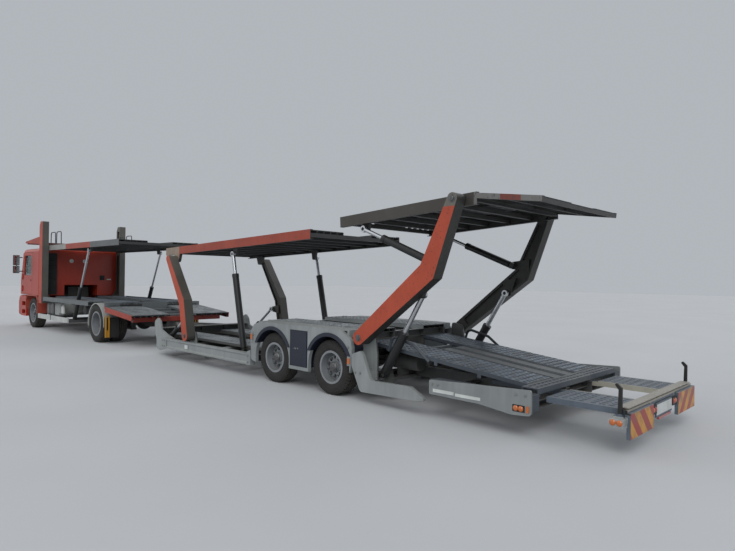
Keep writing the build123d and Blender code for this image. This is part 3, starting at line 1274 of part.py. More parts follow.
gland_length = 55
piston_length = 50
collar_rise = 4
for name, (base, eye, barrel_length, barrel_r, rod_r, piston_at) in CYLINDERS.items():
    reach = hypot(eye[0] - base[0], eye[1] - base[1])
    bore_r = barrel_r - 10
    with BuildPart() as barrels:
        for y in (-cylinder_y, cylinder_y):
            frame = cylinder_frame(base, eye, y)
            with BuildSketch(frame.offset(eye_r - 12)):
                Circle(barrel_r)
            extrude(amount=barrel_length - eye_r + 12)
            with BuildSketch(frame.offset(barrel_length - gland_length)):
                Circle(barrel_r + collar_rise)
            extrude(amount=gland_length)
            cross_pin(*base, y - eye_width / 2, y + eye_width / 2, eye_r)
            cross_pin(*base, y - eye_width / 2 - 1, y + eye_width / 2 + 1, eye_bore_r, mode=Mode.SUBTRACT)
            with BuildSketch(frame.offset(eye_r + 40)):
                Circle(bore_r)
            extrude(amount=barrel_length - gland_length - eye_r - 40, mode=Mode.SUBTRACT)
            with BuildSketch(frame.offset(barrel_length - gland_length - 1)):
                Circle(rod_r + running_gap)
            extrude(amount=gland_length + 2, mode=Mode.SUBTRACT)
    write(barrels, f"{name}_barrels")
    with BuildPart() as rods:
        for y in (-cylinder_y, cylinder_y):
            frame = cylinder_frame(base, eye, y)
            with BuildSketch(frame.offset(piston_at)):
                Circle(bore_r - running_gap)
            extrude(amount=piston_length)
            with BuildSketch(frame.offset(piston_at)):
                Circle(rod_r)
            extrude(amount=reach - piston_at - eye_r + 8)
            cross_pin(*eye, y - eye_width / 2, y + eye_width / 2, eye_r)
            cross_pin(*eye, y - eye_width / 2 - 1, y + eye_width / 2 + 1, eye_bore_r, mode=Mode.SUBTRACT)
    write(rods, f"{name}_rods")
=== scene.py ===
from math import atan2, cos, hypot, pi, radians, sin

import bmesh
import bpy
from mathutils import Matrix, Vector


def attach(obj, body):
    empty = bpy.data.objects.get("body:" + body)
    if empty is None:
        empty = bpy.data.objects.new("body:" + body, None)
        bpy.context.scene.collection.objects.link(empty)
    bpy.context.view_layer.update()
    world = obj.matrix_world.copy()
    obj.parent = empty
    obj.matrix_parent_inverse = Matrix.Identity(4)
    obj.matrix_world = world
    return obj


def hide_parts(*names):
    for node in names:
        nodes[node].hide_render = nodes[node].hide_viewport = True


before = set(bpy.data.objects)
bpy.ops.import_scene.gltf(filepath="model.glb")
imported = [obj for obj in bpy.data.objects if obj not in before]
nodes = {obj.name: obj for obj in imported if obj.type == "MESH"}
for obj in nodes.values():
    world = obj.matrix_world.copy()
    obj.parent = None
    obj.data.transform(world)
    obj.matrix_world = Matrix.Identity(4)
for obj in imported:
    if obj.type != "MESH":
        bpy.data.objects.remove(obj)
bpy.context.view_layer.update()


# Camera: the photograph was taken at eye height, a few metres off the near rear corner.
# It looks forward along the truck, so the axes are given as the camera's right, up and back.
camera_at = Vector((11.668, -6.667, 1.675))
camera_right = Vector((0.71855, 0.69534, 0.01345))
camera_up = Vector((-0.00579, -0.01336, 0.99989))
camera_back = Vector((0.69545, -0.71855, -0.00558))
lens_mm = 27.66

camera_data = bpy.data.cameras.new("photo_camera")
camera_data.sensor_width = 36.0
camera_data.lens = lens_mm
camera_data.clip_end = 400.0
camera = bpy.data.objects.new("photo_camera", camera_data)
bpy.context.scene.collection.objects.link(camera)
camera.matrix_world = Matrix((
    (camera_right.x, camera_up.x, camera_back.x, camera_at.x),
    (camera_right.y, camera_up.y, camera_back.y, camera_at.y),
    (camera_right.z, camera_up.z, camera_back.z, camera_at.z),
    (0.0, 0.0, 0.0, 1.0),
))
bpy.context.scene.camera = camera


# Studio: a pale floor large enough for every view, a soft sky and broad, even light from three sides.
# The strongest comes over the near rear corner, and the undersides stay dark.
def linear(colour):
    """An sRGB hex colour as linear red, green, blue and alpha."""
    parts = [int(colour[i:i + 2], 16) / 255 for i in (1, 3, 5)]
    return [c / 12.92 if c <= 0.04045 else ((c + 0.055) / 1.055) ** 2.4 for c in parts] + [1.0]


def set_inputs(node, settings):
    """Fills inputs by identifier: a socket is linked, and a hex colour is turned to linear."""
    inputs = {socket.identifier: socket for socket in node.inputs}
    for name, value in settings.items():
        if isinstance(value, bpy.types.NodeSocket):
            node.id_data.links.new(value, inputs[name])
        elif isinstance(value, str):
            inputs[name].default_value = linear(value)[:len(inputs[name].default_value)]
        else:
            inputs[name].default_value = value


def add(tree, kind, settings=None, out=None, **properties):
    """Adds a node with its settings, and gives back its first output or the one called out."""
    made = tree.nodes.new(kind)
    for name, value in properties.items():
        setattr(made, name, value)
    set_inputs(made, settings or {})
    return next((socket for socket in made.outputs if out in (None, socket.identifier)), None)


# What a Mix node needs to mix colours
as_colour = {"out": "Result_Color", "data_type": "RGBA"}


def new_material(name):
    """An empty node material, its node tree and its Principled shader."""
    material = bpy.data.materials.new(name)
    material.use_nodes = True
    tree = material.node_tree
    tree.nodes.clear()
    surface = add(tree, "ShaderNodeBsdfPrincipled")
    add(tree, "ShaderNodeOutputMaterial", {"Surface": surface})
    return material, tree, surface.node


def clear_selection():
    """Nothing selected, so that the next operator acts on its own piece alone."""
    if bpy.context.object and bpy.context.object.mode != "OBJECT":
        bpy.ops.object.mode_set(mode="OBJECT")
    bpy.ops.object.select_all(action="DESELECT")


clear_selection()
bpy.ops.mesh.primitive_grid_add(x_subdivisions=12, y_subdivisions=12, size=160.0, location=(0, 0, -0.004))
floor = bpy.context.object
floor.name = "floor"
bpy.ops.object.transform_apply(location=True)
floor_paint, tree, shader = new_material("pale floor")
speckle = add(tree, "ShaderNodeTexNoise", {"Scale": 60.0, "Detail": 4.0})
tone = add(tree, "ShaderNodeMix", {
    "Factor_Float": speckle, "A_Color": "#b9bbbd", "B_Color": "#c6c7c8"}, **as_colour)
set_inputs(shader, {"Base Color": tone, "Roughness": 0.85})
floor.data.materials.append(floor_paint)

world = bpy.data.worlds.new("studio")
bpy.context.scene.world = world
world.use_nodes = True
world.node_tree.nodes.clear()
sky = add(world.node_tree, "ShaderNodeBackground", {"Color": "#dfe5ec", "Strength": 0.60})
add(world.node_tree, "ShaderNodeOutputWorld", {"Surface": sky})

for lamp_name, direction, spread, power in (
        ("key", (0.55, -0.70, 0.75), 40, 1.25),
        ("fill", (-0.80, -0.45, 0.60), 60, 0.45),
        ("back", (0.10, 0.85, 0.60), 60, 0.40)):
    lamp_data = bpy.data.lights.new(lamp_name, "SUN")
    lamp_data.angle = radians(spread)
    lamp_data.energy = power
    lamp = bpy.data.objects.new(lamp_name, lamp_data)
    lamp.rotation_mode = "QUATERNION"
    lamp.rotation_quaternion = Vector(direction).to_track_quat("Z", "Y")
    bpy.context.scene.collection.objects.link(lamp)
bpy.context.scene.view_settings.view_transform = "Standard"


# Chassis and axles: riveted channel rails, cross members and axle tubes of hot-rolled steel.
# They are sprayed with a dark chassis paint, which road dust turns brown-grey from above and in front.
def weathered_paint(name, colour, dust_colour="#8b857a", dust=0.30, chip_colour="#5b4a40", chips=0.25,
                    roughness=0.48, tone_mm=450.0, streak_mm=70.0, chip_mm=26.0, patches=()):
    """Sprayed enamel on steel: broad fading, run-down streaks, dust on what faces up, chipped spots.

    A patch is (colour, {axis: (low, high)}) in metres, where axis is X, Z or side, the distance
    from the centre line. Its edges are rubbed by the same noise as the chips.
    """
    material, tree, shader = new_material(name)
    place = add(tree, "ShaderNodeTexCoord", out="Object")
    split = add(tree, "ShaderNodeSeparateXYZ", {"Vector": place}).node.outputs
    side = add(tree, "ShaderNodeMath", {"Value": split["Y"]}, operation="ABSOLUTE")
    axes = {"X": split["X"], "Z": split["Z"], "side": side}

    fading = add(tree, "ShaderNodeTexNoise", {"Vector": place, "Scale": 1000 / tone_mm, "Detail": 3.0})
    streak_space = add(tree, "ShaderNodeMapping", {"Vector": place, "Scale": (1.0, 1.0, 0.12)})
    streaks = add(tree, "ShaderNodeTexNoise", {
        "Vector": streak_space, "Scale": 1000 / streak_mm, "Detail": 2.0})
    grit = add(tree, "ShaderNodeTexNoise", {
        "Vector": place, "Scale": 1000 / chip_mm, "Detail": 5.0, "Roughness": 0.65})

    paint = colour
    for patch_colour, limits in patches:
        inside = None
        for axis, (low, high) in limits.items():
            rubbed = add(tree, "ShaderNodeMath", {
                "Value": grit, "Value_001": 0.012, "Value_002": axes[axis]}, operation="MULTIPLY_ADD")
            above = add(tree, "ShaderNodeMath", {"Value": rubbed, "Value_001": low + 0.006},
                        operation="GREATER_THAN")
            below = add(tree, "ShaderNodeMath", {"Value": rubbed, "Value_001": high + 0.006},
                        operation="LESS_THAN")
            both = add(tree, "ShaderNodeMath", {"Value": above, "Value_001": below}, operation="MULTIPLY")
            inside = both if inside is None else add(tree, "ShaderNodeMath", {
                "Value": inside, "Value_001": both}, operation="MULTIPLY")
        paint = add(tree, "ShaderNodeMix", {
            "Factor_Float": inside, "A_Color": paint, "B_Color": patch_colour}, **as_colour)

    # Fading and streaks brighten and darken the paint by up to a fifth together
    fade = add(tree, "ShaderNodeMapRange", {
        "Value": fading, "From Min": 0.3, "From Max": 0.7, "To Min": 0.86, "To Max": 1.12})
    run = add(tree, "ShaderNodeMapRange", {
        "Value": streaks, "From Min": 0.35, "From Max": 0.65, "To Min": 0.93, "To Max": 1.04})
    tone = add(tree, "ShaderNodeMath", {"Value": fade, "Value_001": run}, operation="MULTIPLY")
    faded = add(tree, "ShaderNodeVectorMath", {"Vector": paint, "Scale": tone}, operation="SCALE")

    # Dust lies on what faces up, and thins out over noise
    facing = add(tree, "ShaderNodeNewGeometry", out="Normal")
    up = add(tree, "ShaderNodeSeparateXYZ", {"Vector": facing}, out="Z")
    flat = add(tree, "ShaderNodeMapRange", {
        "Value": up, "From Min": 0.35, "From Max": 0.95, "To Min": dust * 0.35, "To Max": dust * 1.6})
    dusty = add(tree, "ShaderNodeMath", {"Value": flat, "Value_001": fading, "Value_002": 0.0},
                operation="MULTIPLY_ADD", use_clamp=True)
    powdered = add(tree, "ShaderNodeMix", {
        "Factor_Float": dusty, "A_Color": faded, "B_Color": dust_colour}, **as_colour)

    # Chips go through to primer and rust
    chipped = add(tree, "ShaderNodeMapRange", {
        "Value": grit, "From Min": 0.80 - 0.30 * chips, "From Max": 0.84 - 0.30 * chips})
    finished = add(tree, "ShaderNodeMix", {
        "Factor_Float": chipped, "A_Color": powdered, "B_Color": chip_colour}, **as_colour)
    gloss = add(tree, "ShaderNodeMapRange", {
        "Value": grit, "From Min": 0.3, "From Max": 0.7, "To Min": roughness - 0.08,
        "To Max": roughness + 0.16})
    bump = add(tree, "ShaderNodeBump", {"Height": grit, "Strength": 0.12, "Distance": 0.002})
    set_inputs(shader, {"Base Color": finished, "Roughness": gloss, "Normal": bump})
    return material


def dress(name, material):
    """Gives a CAD node its finish through its material slots."""
    for place in nodes[name].material_slots:
        place.material = material


chassis_paint = weathered_paint(
    "dark chassis paint", "#2b2c2e", dust_colour="#6d675d", dust=0.35, chips=0.2)
for name in ("truck_frame", "truck_axles", "trailer_axles", "knuckle_left", "knuckle_right"):
    dress(name, chassis_paint)
dress("engine_block", weathered_paint(
    "cast iron under oil mist", "#3a3937", dust_colour="#4d463d", dust=0.5, chip_colour="#6d5a45",
    chips=0.3, roughness=0.6))


# Tyres: steel-belted radials of vulcanised rubber, moulded with four grooves and shoulder lugs.
# Their beads are pressed onto the rims by the air in them, and road dust lies on the treads.
def select_faces(piece, wanted):
    """In edit mode, only the faces whose middle and normal pass the test are selected."""
    bpy.ops.mesh.select_mode(type="FACE")
    bpy.ops.mesh.select_all(action="DESELECT")
    faces = bmesh.from_edit_mesh(piece.data)
    for face in faces.faces:
        if wanted(face.calc_center_median(), face.normal):
            face.select_set(True)
    bmesh.update_edit_mesh(piece.data)


def work_on(piece):
    """Makes a piece the only one selected, and the active one."""
    clear_selection()
    piece.select_set(True)
    bpy.context.view_layer.objects.active = piece


def copy_of(piece, move):
    """A copy with its own mesh, moved by a matrix. A mirrored copy is turned right side out."""
    twin = piece.copy()
    twin.data = piece.data.copy()
    bpy.context.scene.collection.objects.link(twin)
    twin.data.transform(move)
    if move.determinant() < 0:
        twin.data.flip_normals()
    return twin


def joined(pieces):
    """Several pieces as one."""
    work_on(pieces[0])
    for piece in pieces[1:]:
        piece.select_set(True)
    bpy.ops.object.join()
    return pieces[0]


def settle(piece, name, material, body, slot, *stands_for):
    """Names a finished piece, puts its place into its mesh and gives it its finish and its body."""
    work_on(piece)
    bpy.ops.object.transform_apply()
    piece.name = piece.data.name = name
    piece.data.materials.clear()
    piece.data.materials.append(material)
    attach(piece, body)
    if stands_for:
        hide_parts(*stands_for)


def turned(profile, steps, smooth=None):
    """A ring about the Y axis from (across, radius) points, extruded one by one and spun.

    Edges sharper than smooth degrees stay sharp in the shading, and without it all do.
    """
    clear_selection()
    bpy.ops.mesh.primitive_plane_add(size=0.01)
    ring = bpy.context.object
    bpy.ops.object.mode_set(mode="EDIT")
    bpy.ops.mesh.select_mode(type="VERT")
    bpy.ops.mesh.merge(type="CENTER")
    across, radius = profile[0]
    bpy.ops.transform.translate(value=(0, across, radius))
    for next_across, next_radius in profile[1:]:
        bpy.ops.mesh.extrude_region_move(
            TRANSFORM_OT_translate={"value": (0, next_across - across, next_radius - radius)})
        across, radius = next_across, next_radius
    bpy.ops.mesh.select_all(action="SELECT")
    bpy.ops.mesh.spin(steps=steps, angle=2 * pi, center=(0, 0, 0), axis=(0, 1, 0))
    bpy.ops.mesh.select_all(action="SELECT")
    bpy.ops.mesh.remove_doubles(threshold=0.0002)
    bpy.ops.mesh.normals_make_consistent(inside=False)
    bpy.ops.object.mode_set(mode="OBJECT")
    if smooth:
        bpy.ops.object.shade_smooth_by_angle(angle=radians(smooth))
    return ring


# Rubber is soft black and barely shiny. What faces the road is greyed by dust and wear.
tyre_rubber, tree, shader = new_material("vulcanised tyre rubber")
place = add(tree, "ShaderNodeTexCoord", out="Object")
facing = add(tree, "ShaderNodeSeparateXYZ", {"Vector": add(
    tree, "ShaderNodeNewGeometry", out="Normal")}, out="Y")
sideways = add(tree, "ShaderNodeMath", {"Value": facing}, operation="ABSOLUTE")
# Dust patches are a hand wide, and the moulded grain of 1 mm is drawn at 5 mm so that it shows
dust = add(tree, "ShaderNodeTexNoise", {"Vector": place, "Scale": 1000 / 90.0, "Detail": 4.0})
grain = add(tree, "ShaderNodeTexNoise", {"Vector": place, "Scale": 1000 / 5.0, "Detail": 2.0})
worn = add(tree, "ShaderNodeMapRange", {
    "Value": sideways, "From Min": 0.2, "From Max": 0.9, "To Min": 0.62, "To Max": 0.18})
amount = add(tree, "ShaderNodeMath", {"Value": worn, "Value_001": dust}, operation="MULTIPLY")
tone = add(tree, "ShaderNodeMix", {
    "Factor_Float": amount, "A_Color": "#151516", "B_Color": "#6d675f"}, **as_colour)
bump = add(tree, "ShaderNodeBump", {"Height": grain, "Strength": 0.2, "Distance": 0.001})
set_inputs(shader, {"Base Color": tone, "Roughness": 0.82, "Normal": bump})

tread_depth, lug_depth = 0.012, 0.010
# One step of the spin in three carries a lug on each shoulder
spin_steps, lug_every = 144, 3
grooves = (0.50, 0.17, -0.17, -0.50)
# Outer half of the section, from the bead up: share of half the width, share of the wall's height
outer_wall = [
    (0.79, 0.0), (0.80, 0.07), (0.84, 0.10), (0.86, 0.15), (0.90, 0.17), (0.94, 0.24), (0.985, 0.37),
    (1.0, 0.50), (0.99, 0.60), (0.97, 0.615), (0.965, 0.70), (0.975, 0.715), (0.95, 0.80), (0.91, 0.89),
    (0.89, 0.90), (0.865, 0.95), (0.83, 0.985)]
# Wheel: axle's place, tyre centres from the centre line, tyre's width, its radius and the rim's
wheels = {
    "front": (-8.300, (1.050,), 0.295, 0.463, 0.286),
    "drive": (-3.000, (0.7675, 1.1025), 0.295, 0.463, 0.286),
    "trailer_fore": (4.310, (1.072,), 0.245, 0.394, 0.222),
    "trailer_aft": (5.650, (1.072,), 0.245, 0.394, 0.222),
}
tyre_of_size = {}
for wheel, (axle_x, centres, width, tyre_r, rim_r) in wheels.items():
    half, wall = width / 2, tyre_r - rim_r
    if tyre_r not in tyre_of_size:
        profile = [(half * y, rim_r + wall * r) for y, r in outer_wall]
        for groove in grooves:
            for step, depth in ((0.05, 0.0), (0.035, tread_depth), (-0.035, tread_depth), (-0.05, 0.0)):
                profile.append((half * (groove + step), tyre_r - depth - 0.002 * groove ** 2))
        profile += [(-y, r) for y, r in reversed(profile[:len(outer_wall)])] + [profile[0]]
        tyre = turned(profile, spin_steps)
        step_angle = 2 * pi / spin_steps
        bpy.ops.object.mode_set(mode="EDIT")
        select_faces(tyre, lambda middle, normal: (
            int((atan2(middle.x, middle.z) % (2 * pi)) / step_angle) % lug_every == 0
            and 0.56 * half < abs(middle.y) and hypot(middle.x, middle.z) > tyre_r - 0.16 * wall))
        bpy.ops.mesh.inset(thickness=0.002, depth=-lug_depth)
        bpy.ops.object.mode_set(mode="OBJECT")
        bpy.ops.object.shade_smooth_by_angle(angle=radians(28))
        tyre_of_size[tyre_r] = tyre
    for side, side_name in ((-1, "left"), (1, "right")):
        tyres = [copy_of(
            tyre_of_size[tyre_r], Matrix.Translation((axle_x, side * y, tyre_r))) for y in centres]
        settle(joined(tyres), f"{wheel}_tread_{side_name}", tyre_rubber, f"{wheel}_wheel_{side_name}",
               "tyre_rubber", f"{wheel}_tyre_{side_name}")
for tyre in tyre_of_size.values():
    bpy.data.objects.remove(tyre)


# Rims, nuts and hub caps: pressed steel discs welded into rolled rims and sprayed silver, held by ten
# nuts each. The caps are turned steel, and brake dust and road dirt lie on all of it.
rim_paint = weathered_paint(
    "silver rim paint", "#868a8e", dust_colour="#6a635a", dust=0.45, chip_colour="#5f5248", chips=0.35,
    roughness=0.42, tone_mm=140.0, streak_mm=40.0, chip_mm=14.0)
hub_steel, tree, shader = new_material("turned steel with grease")
place = add(tree, "ShaderNodeTexCoord", out="Object")
grease = add(tree, "ShaderNodeTexNoise", {"Vector": place, "Scale": 1000 / 35.0, "Detail": 4.0})
tone = add(tree, "ShaderNodeMix", {
    "Factor_Float": grease, "A_Color": "#3a3b3c", "B_Color": "#8b8c8c"}, **as_colour)
gloss = add(tree, "ShaderNodeMapRange", {
    "Value": grease, "From Min": 0.3, "From Max": 0.7, "To Min": 0.55, "To Max": 0.28})
set_inputs(shader, {"Base Color": tone, "Metallic": 0.85, "Roughness": gloss})

# Hub: disc face and hub end from the centre line, bolt circle, hub cap radius and length
hubs = {
    "front": (1.098, 1.135, 0.1675, 0.082, 0.030),
    "drive": (1.0055, 1.0425, 0.1675, 0.128, 0.095),
    "trailer_fore": (1.090, 1.127, 0.1375, 0.078, 0.028),
    "trailer_aft": (1.090, 1.127, 0.1375, 0.078, 0.028),
}
nut_count, nut_r, nut_height = 10, 0.0185, 0.026
for wheel, (disc_y, hub_y, bolt_r, cap_r, cap_length) in hubs.items():
    axle_x, centres, width, tyre_r, rim_r = wheels[wheel]
    dress(f"{wheel}_rim_left", rim_paint)
    dress(f"{wheel}_rim_right", rim_paint)
    clear_selection()
    bpy.ops.mesh.primitive_cylinder_add(
        vertices=6, radius=nut_r, depth=nut_height, rotation=(pi / 2, 0, 0),
        location=(0, disc_y + nut_height / 2, bolt_r))
    nut = bpy.context.object
    bpy.ops.object.transform_apply()
    bpy.ops.object.mode_set(mode="EDIT")
    select_faces(nut, lambda middle, normal: normal.y > 0.9)
    bpy.ops.mesh.bevel(offset=0.003)
    select_faces(nut, lambda middle, normal: normal.y > 0.9)
    bpy.ops.mesh.inset(thickness=0.004)
    bpy.ops.mesh.extrude_region_move(TRANSFORM_OT_translate={"value": (0, 0.012, 0)})
    bpy.ops.object.mode_set(mode="OBJECT")
    parts = [copy_of(nut, Matrix.Rotation(number * 2 * pi / nut_count, 4, "Y"))
             for number in range(nut_count)]
    bpy.data.objects.remove(nut)
    cap = turned([
        (hub_y - 0.03, 0.0), (hub_y - 0.03, cap_r), (hub_y + 0.012, cap_r),
        (hub_y + 0.016, cap_r - 0.004), (hub_y + 0.016, cap_r * 0.84),
        (hub_y + cap_length * 0.85, cap_r * 0.76), (hub_y + cap_length, cap_r * 0.66),
        (hub_y + cap_length, 0.022), (hub_y + cap_length + 0.006, 0.018),
        (hub_y + cap_length + 0.006, 0.0)], 40, smooth=30)
    whole = joined([cap] + parts)
    for side, side_name in ((-1, "left"), (1, "right")):
        mirror = Matrix.Diagonal((1, side, 1, 1))
        settle(copy_of(whole, Matrix.Translation((axle_x, 0, tyre_r)) @ mirror), f"{wheel}_hub_{side_name}",
               hub_steel, f"{wheel}_wheel_{side_name}", "rim_silver")
    bpy.data.objects.remove(whole)


# Cab: pressed steel panels spot-welded to a floor and pillars, in one coat of orange-red enamel.
# Sun has faded it a little towards pink, and soot from the exhaust lies on the back wall.
cab_red = weathered_paint(
    "orange-red cab enamel", "#a52f1a", dust_colour="#8f6f62", dust=0.18, chip_colour="#6a2a1e",
    chips=0.05, roughness=0.33, tone_mm=900.0)
for name in ("cab_shell", "door_left", "door_right", "front_bumper"):
    dress(name, cab_red)
black_plastic, tree, shader = new_material("moulded black polypropylene")
place = add(tree, "ShaderNodeTexCoord", out="Object")
# The mould's fine grain is 1.5 mm, drawn at 6 mm so that it shows
grain = add(tree, "ShaderNodeTexNoise", {"Vector": place, "Scale": 1000 / 6.0, "Detail": 3.0})
chalk = add(tree, "ShaderNodeTexNoise", {"Vector": place, "Scale": 1000 / 240.0, "Detail": 4.0})
tone = add(tree, "ShaderNodeMix", {
    "Factor_Float": chalk, "A_Color": "#141516", "B_Color": "#2c2c2b"}, **as_colour)
bump = add(tree, "ShaderNodeBump", {"Height": grain, "Strength": 0.25, "Distance": 0.001})
set_inputs(shader, {"Base Color": tone, "Roughness": 0.62, "Normal": bump})
for name in ("grille_and_lamps", "air_intake", "mirrors"):
    dress(name, black_plastic)

# Laminated glass: a thin green-grey tint, with a film of dust that dulls the sky's reflection
window_glass, tree, shader = new_material("laminated glass, dusty")
place = add(tree, "ShaderNodeTexCoord", out="Object")
film = add(tree, "ShaderNodeTexNoise", {"Vector": place, "Scale": 1000 / 160.0, "Detail": 5.0})
smear = add(tree, "ShaderNodeMapRange", {
    "Value": film, "From Min": 0.35, "From Max": 0.75, "To Min": 0.03, "To Max": 0.20})
set_inputs(shader, {
    "Base Color": "#9db0ad", "Transmission Weight": 0.92, "IOR": 1.5, "Roughness": smear})
for name in ("windscreen", "door_glass_left", "door_glass_right"):
    dress(name, window_glass)

# Seats and trim: woven grey cloth over foam, and charcoal moulded panels below it
cab_cloth, tree, shader = new_material("woven seat cloth and trim")
place = add(tree, "ShaderNodeTexCoord", out="Object")
# Threads are 1 mm apart, drawn 8 mm apart so that the weave shows. A wave texture's bands are
# 2 pi / 20 of a metre apart at a scale of 1.
warp, weft = (
    add(tree, "ShaderNodeTexWave", {"Vector": place, "Scale": 2 * pi / 20 / 0.008}, out="Fac",
        bands_direction=direction) for direction in "YZ")
weave = add(tree, "ShaderNodeMath", {"Value": warp, "Value_001": weft}, operation="MULTIPLY")
tone = add(tree, "ShaderNodeMix", {
    "Factor_Float": weave, "A_Color": "#2a2c30", "B_Color": "#4a4d54"}, **as_colour)
bump = add(tree, "ShaderNodeBump", {"Height": weave, "Strength": 0.3, "Distance": 0.001})
set_inputs(shader, {"Base Color": tone, "Roughness": 0.9, "Sheen Weight": 0.3, "Normal": bump})
dress("cab_interior", cab_cloth)


# Masts and over-cab peak: folded 10 mm plate, welded, bolted to the truck's rails behind the cab.
# The outer faces are orange-red and the guides and rear faces are worn back to grey primer.
dress("masts", weathered_paint("mast enamel", "#55544f", dust=0.25, chips=0.3, patches=(
    ("#a63a22", {"side": (1.244, 1.3)}),
    ("#9c3520", {"X": (-9.6, -7.60), "Z": (2.6, 2.9)}),
)))


# Wheel guards and flaps: the front ones carry the cab's colour, those over the twin wheels are
# light grey, and the rubber flaps behind them have two yellow reflective strips on their supports.
dress("mudguards", weathered_paint("guard paint", "#a3a6a2", dust=0.35, chips=0.2, patches=(
    ("#a8402f", {"X": (-9.0, -7.6)}),
    ("#1b1b1c", {"X": (-2.442, -2.415)}),
    ("#c98d16", {"X": (-2.415, -2.38)}),
)))


# Tanks and boxes between the wheels: a rounded fuel tank, ribbed battery box, two water bottles and
# the aluminium side guard, all hung from the truck's rails on brackets.
dress("side_gear", weathered_paint("side gear paint", "#4b4d4e", chips=0.15, patches=(
    ("#a6a9a7", {"X": (-6.43, -5.98), "Z": (0.49, 0.84)}),
    ("#c9cbc8", {"X": (-5.93, -5.70), "Z": (0.562, 0.80), "side": (1.03, 1.14)}),
    ("#b7b9b6", {"side": (1.209, 1.25)}),
    ("#39393a", {"X": (-6.46, -6.41), "side": (1.19, 1.25)}),
)))
# The fuel tank's two steel straps are 50 mm wide, pressed round its corners of 90 mm
tank_middle, tank_inner_y, tank_outer_y, tank_corner = 0.65, 0.40, 1.13, 0.09
strap_stands_off, strap_half_width, tank_half_height = 0.003, 0.025, 0.20
straps = []
for strap_x in (-7.00, -6.66):
    for side in (-1, 1):
        clear_selection()
        bpy.ops.mesh.primitive_cube_add(size=2)
        strap = bpy.context.object
        place = Matrix.Translation((strap_x, side * (tank_inner_y + tank_outer_y) / 2, tank_middle))
        half_depth = (tank_outer_y - tank_inner_y) / 2 + strap_stands_off
        half_height = tank_half_height + strap_stands_off
        strap.data.transform(place @ Matrix.Diagonal((strap_half_width, half_depth, half_height, 1)))
        bpy.ops.object.mode_set(mode="EDIT")
        bpy.ops.mesh.select_mode(type="EDGE")
        bpy.ops.mesh.select_all(action="DESELECT")
        edges = bmesh.from_edit_mesh(strap.data)
        for edge in edges.edges:
            if abs(edge.verts[0].co.x - edge.verts[1].co.x) > strap_half_width:
                edge.select_set(True)
        bpy.ops.mesh.bevel(offset=tank_corner, segments=6, affect="EDGES")
        select_faces(strap, lambda middle, normal: abs(normal.x) > 0.9)
        bpy.ops.mesh.delete(type="FACE")
        bpy.ops.object.mode_set(mode="OBJECT")
        band = strap.modifiers.new("band", "SOLIDIFY")
        band.thickness = 0.003
        band.offset = 1
        bpy.ops.object.modifier_apply(modifier=band.name)
        bpy.ops.object.shade_smooth_by_angle(angle=radians(30))
        straps.append(strap)
settle(joined(straps), "tank_straps", weathered_paint(
    "zinc-plated strap", "#83878a", chips=0.2, tone_mm=120.0), "truck", "side_gear_grey")


# Truck's lower deck: pressed and galvanised planks welded over cross beams, edged by channels.
# Each plank is punched with rows of slots whose edges are pressed up, which grips the tyres.
sheet_thickness, slot_rim, cut_corner = 0.004, 0.005, 0.3
lower_track = (0.335, 0.895)


def tread_plate(name, body, origin, tilt, length, across, material,
                slot_size=(0.062, 0.044), pitch=(0.092, 0.084), lip=0.003, both_sides=True):
    """A punched sheet in a deck's plane: one slot is shaped and repeated both ways."""
    y_low, y_high = across
    rows, columns = round(length / pitch[0]), round((y_high - y_low) / pitch[1])
    cell = (length / rows, (y_high - y_low) / columns)
    clear_selection()
    bpy.ops.mesh.primitive_plane_add(size=1, location=(cell[0] / 2, y_low + cell[1] / 2, 0))
    sheet = bpy.context.object
    sheet.scale = (*cell, 1)
    bpy.ops.object.transform_apply()
    bpy.ops.object.mode_set(mode="EDIT")
    bpy.ops.mesh.subdivide(number_cuts=2)
    middle = Vector((cell[0] / 2, y_low + cell[1] / 2, 0))
    select_faces(sheet, lambda centre, normal: (centre - middle).length < 0.001)
    bpy.ops.transform.resize(value=(
        3 * slot_size[0] / cell[0], 3 * slot_size[1] / cell[1], 1), center_override=middle)
    bpy.ops.mesh.bevel(offset=min(slot_size) * cut_corner, affect="VERTICES", segments=1)
    select_faces(sheet, lambda centre, normal: (centre - middle).length < 0.004)
    bpy.ops.mesh.inset(thickness=slot_rim, depth=lip)
    bpy.ops.mesh.delete(type="FACE")
    bpy.ops.object.mode_set(mode="OBJECT")
    for axis, count in ((0, rows), (1, columns)):
        array = sheet.modifiers.new("rows", "ARRAY")
        array.count = count
        array.use_relative_offset = False
        array.use_constant_offset = True
        array.constant_offset_displace = [cell[0] if axis == 0 else 0, cell[1] if axis == 1 else 0, 0]
        array.use_merge_vertices = True
        array.merge_threshold = 0.0005
        bpy.ops.object.modifier_apply(modifier=array.name)
    thickness = sheet.modifiers.new("sheet", "SOLIDIFY")
    thickness.thickness = sheet_thickness
    thickness.offset = 1
    bpy.ops.object.modifier_apply(modifier=thickness.name)
    if both_sides:
        sheet = joined([sheet, copy_of(sheet, Matrix.Scale(-1, 4, (0, 1, 0)))])
    sheet.data.transform(Matrix.Translation(origin) @ Matrix.Rotation(-tilt, 4, "Y"))
    settle(sheet, name, material, body, "track_steel")


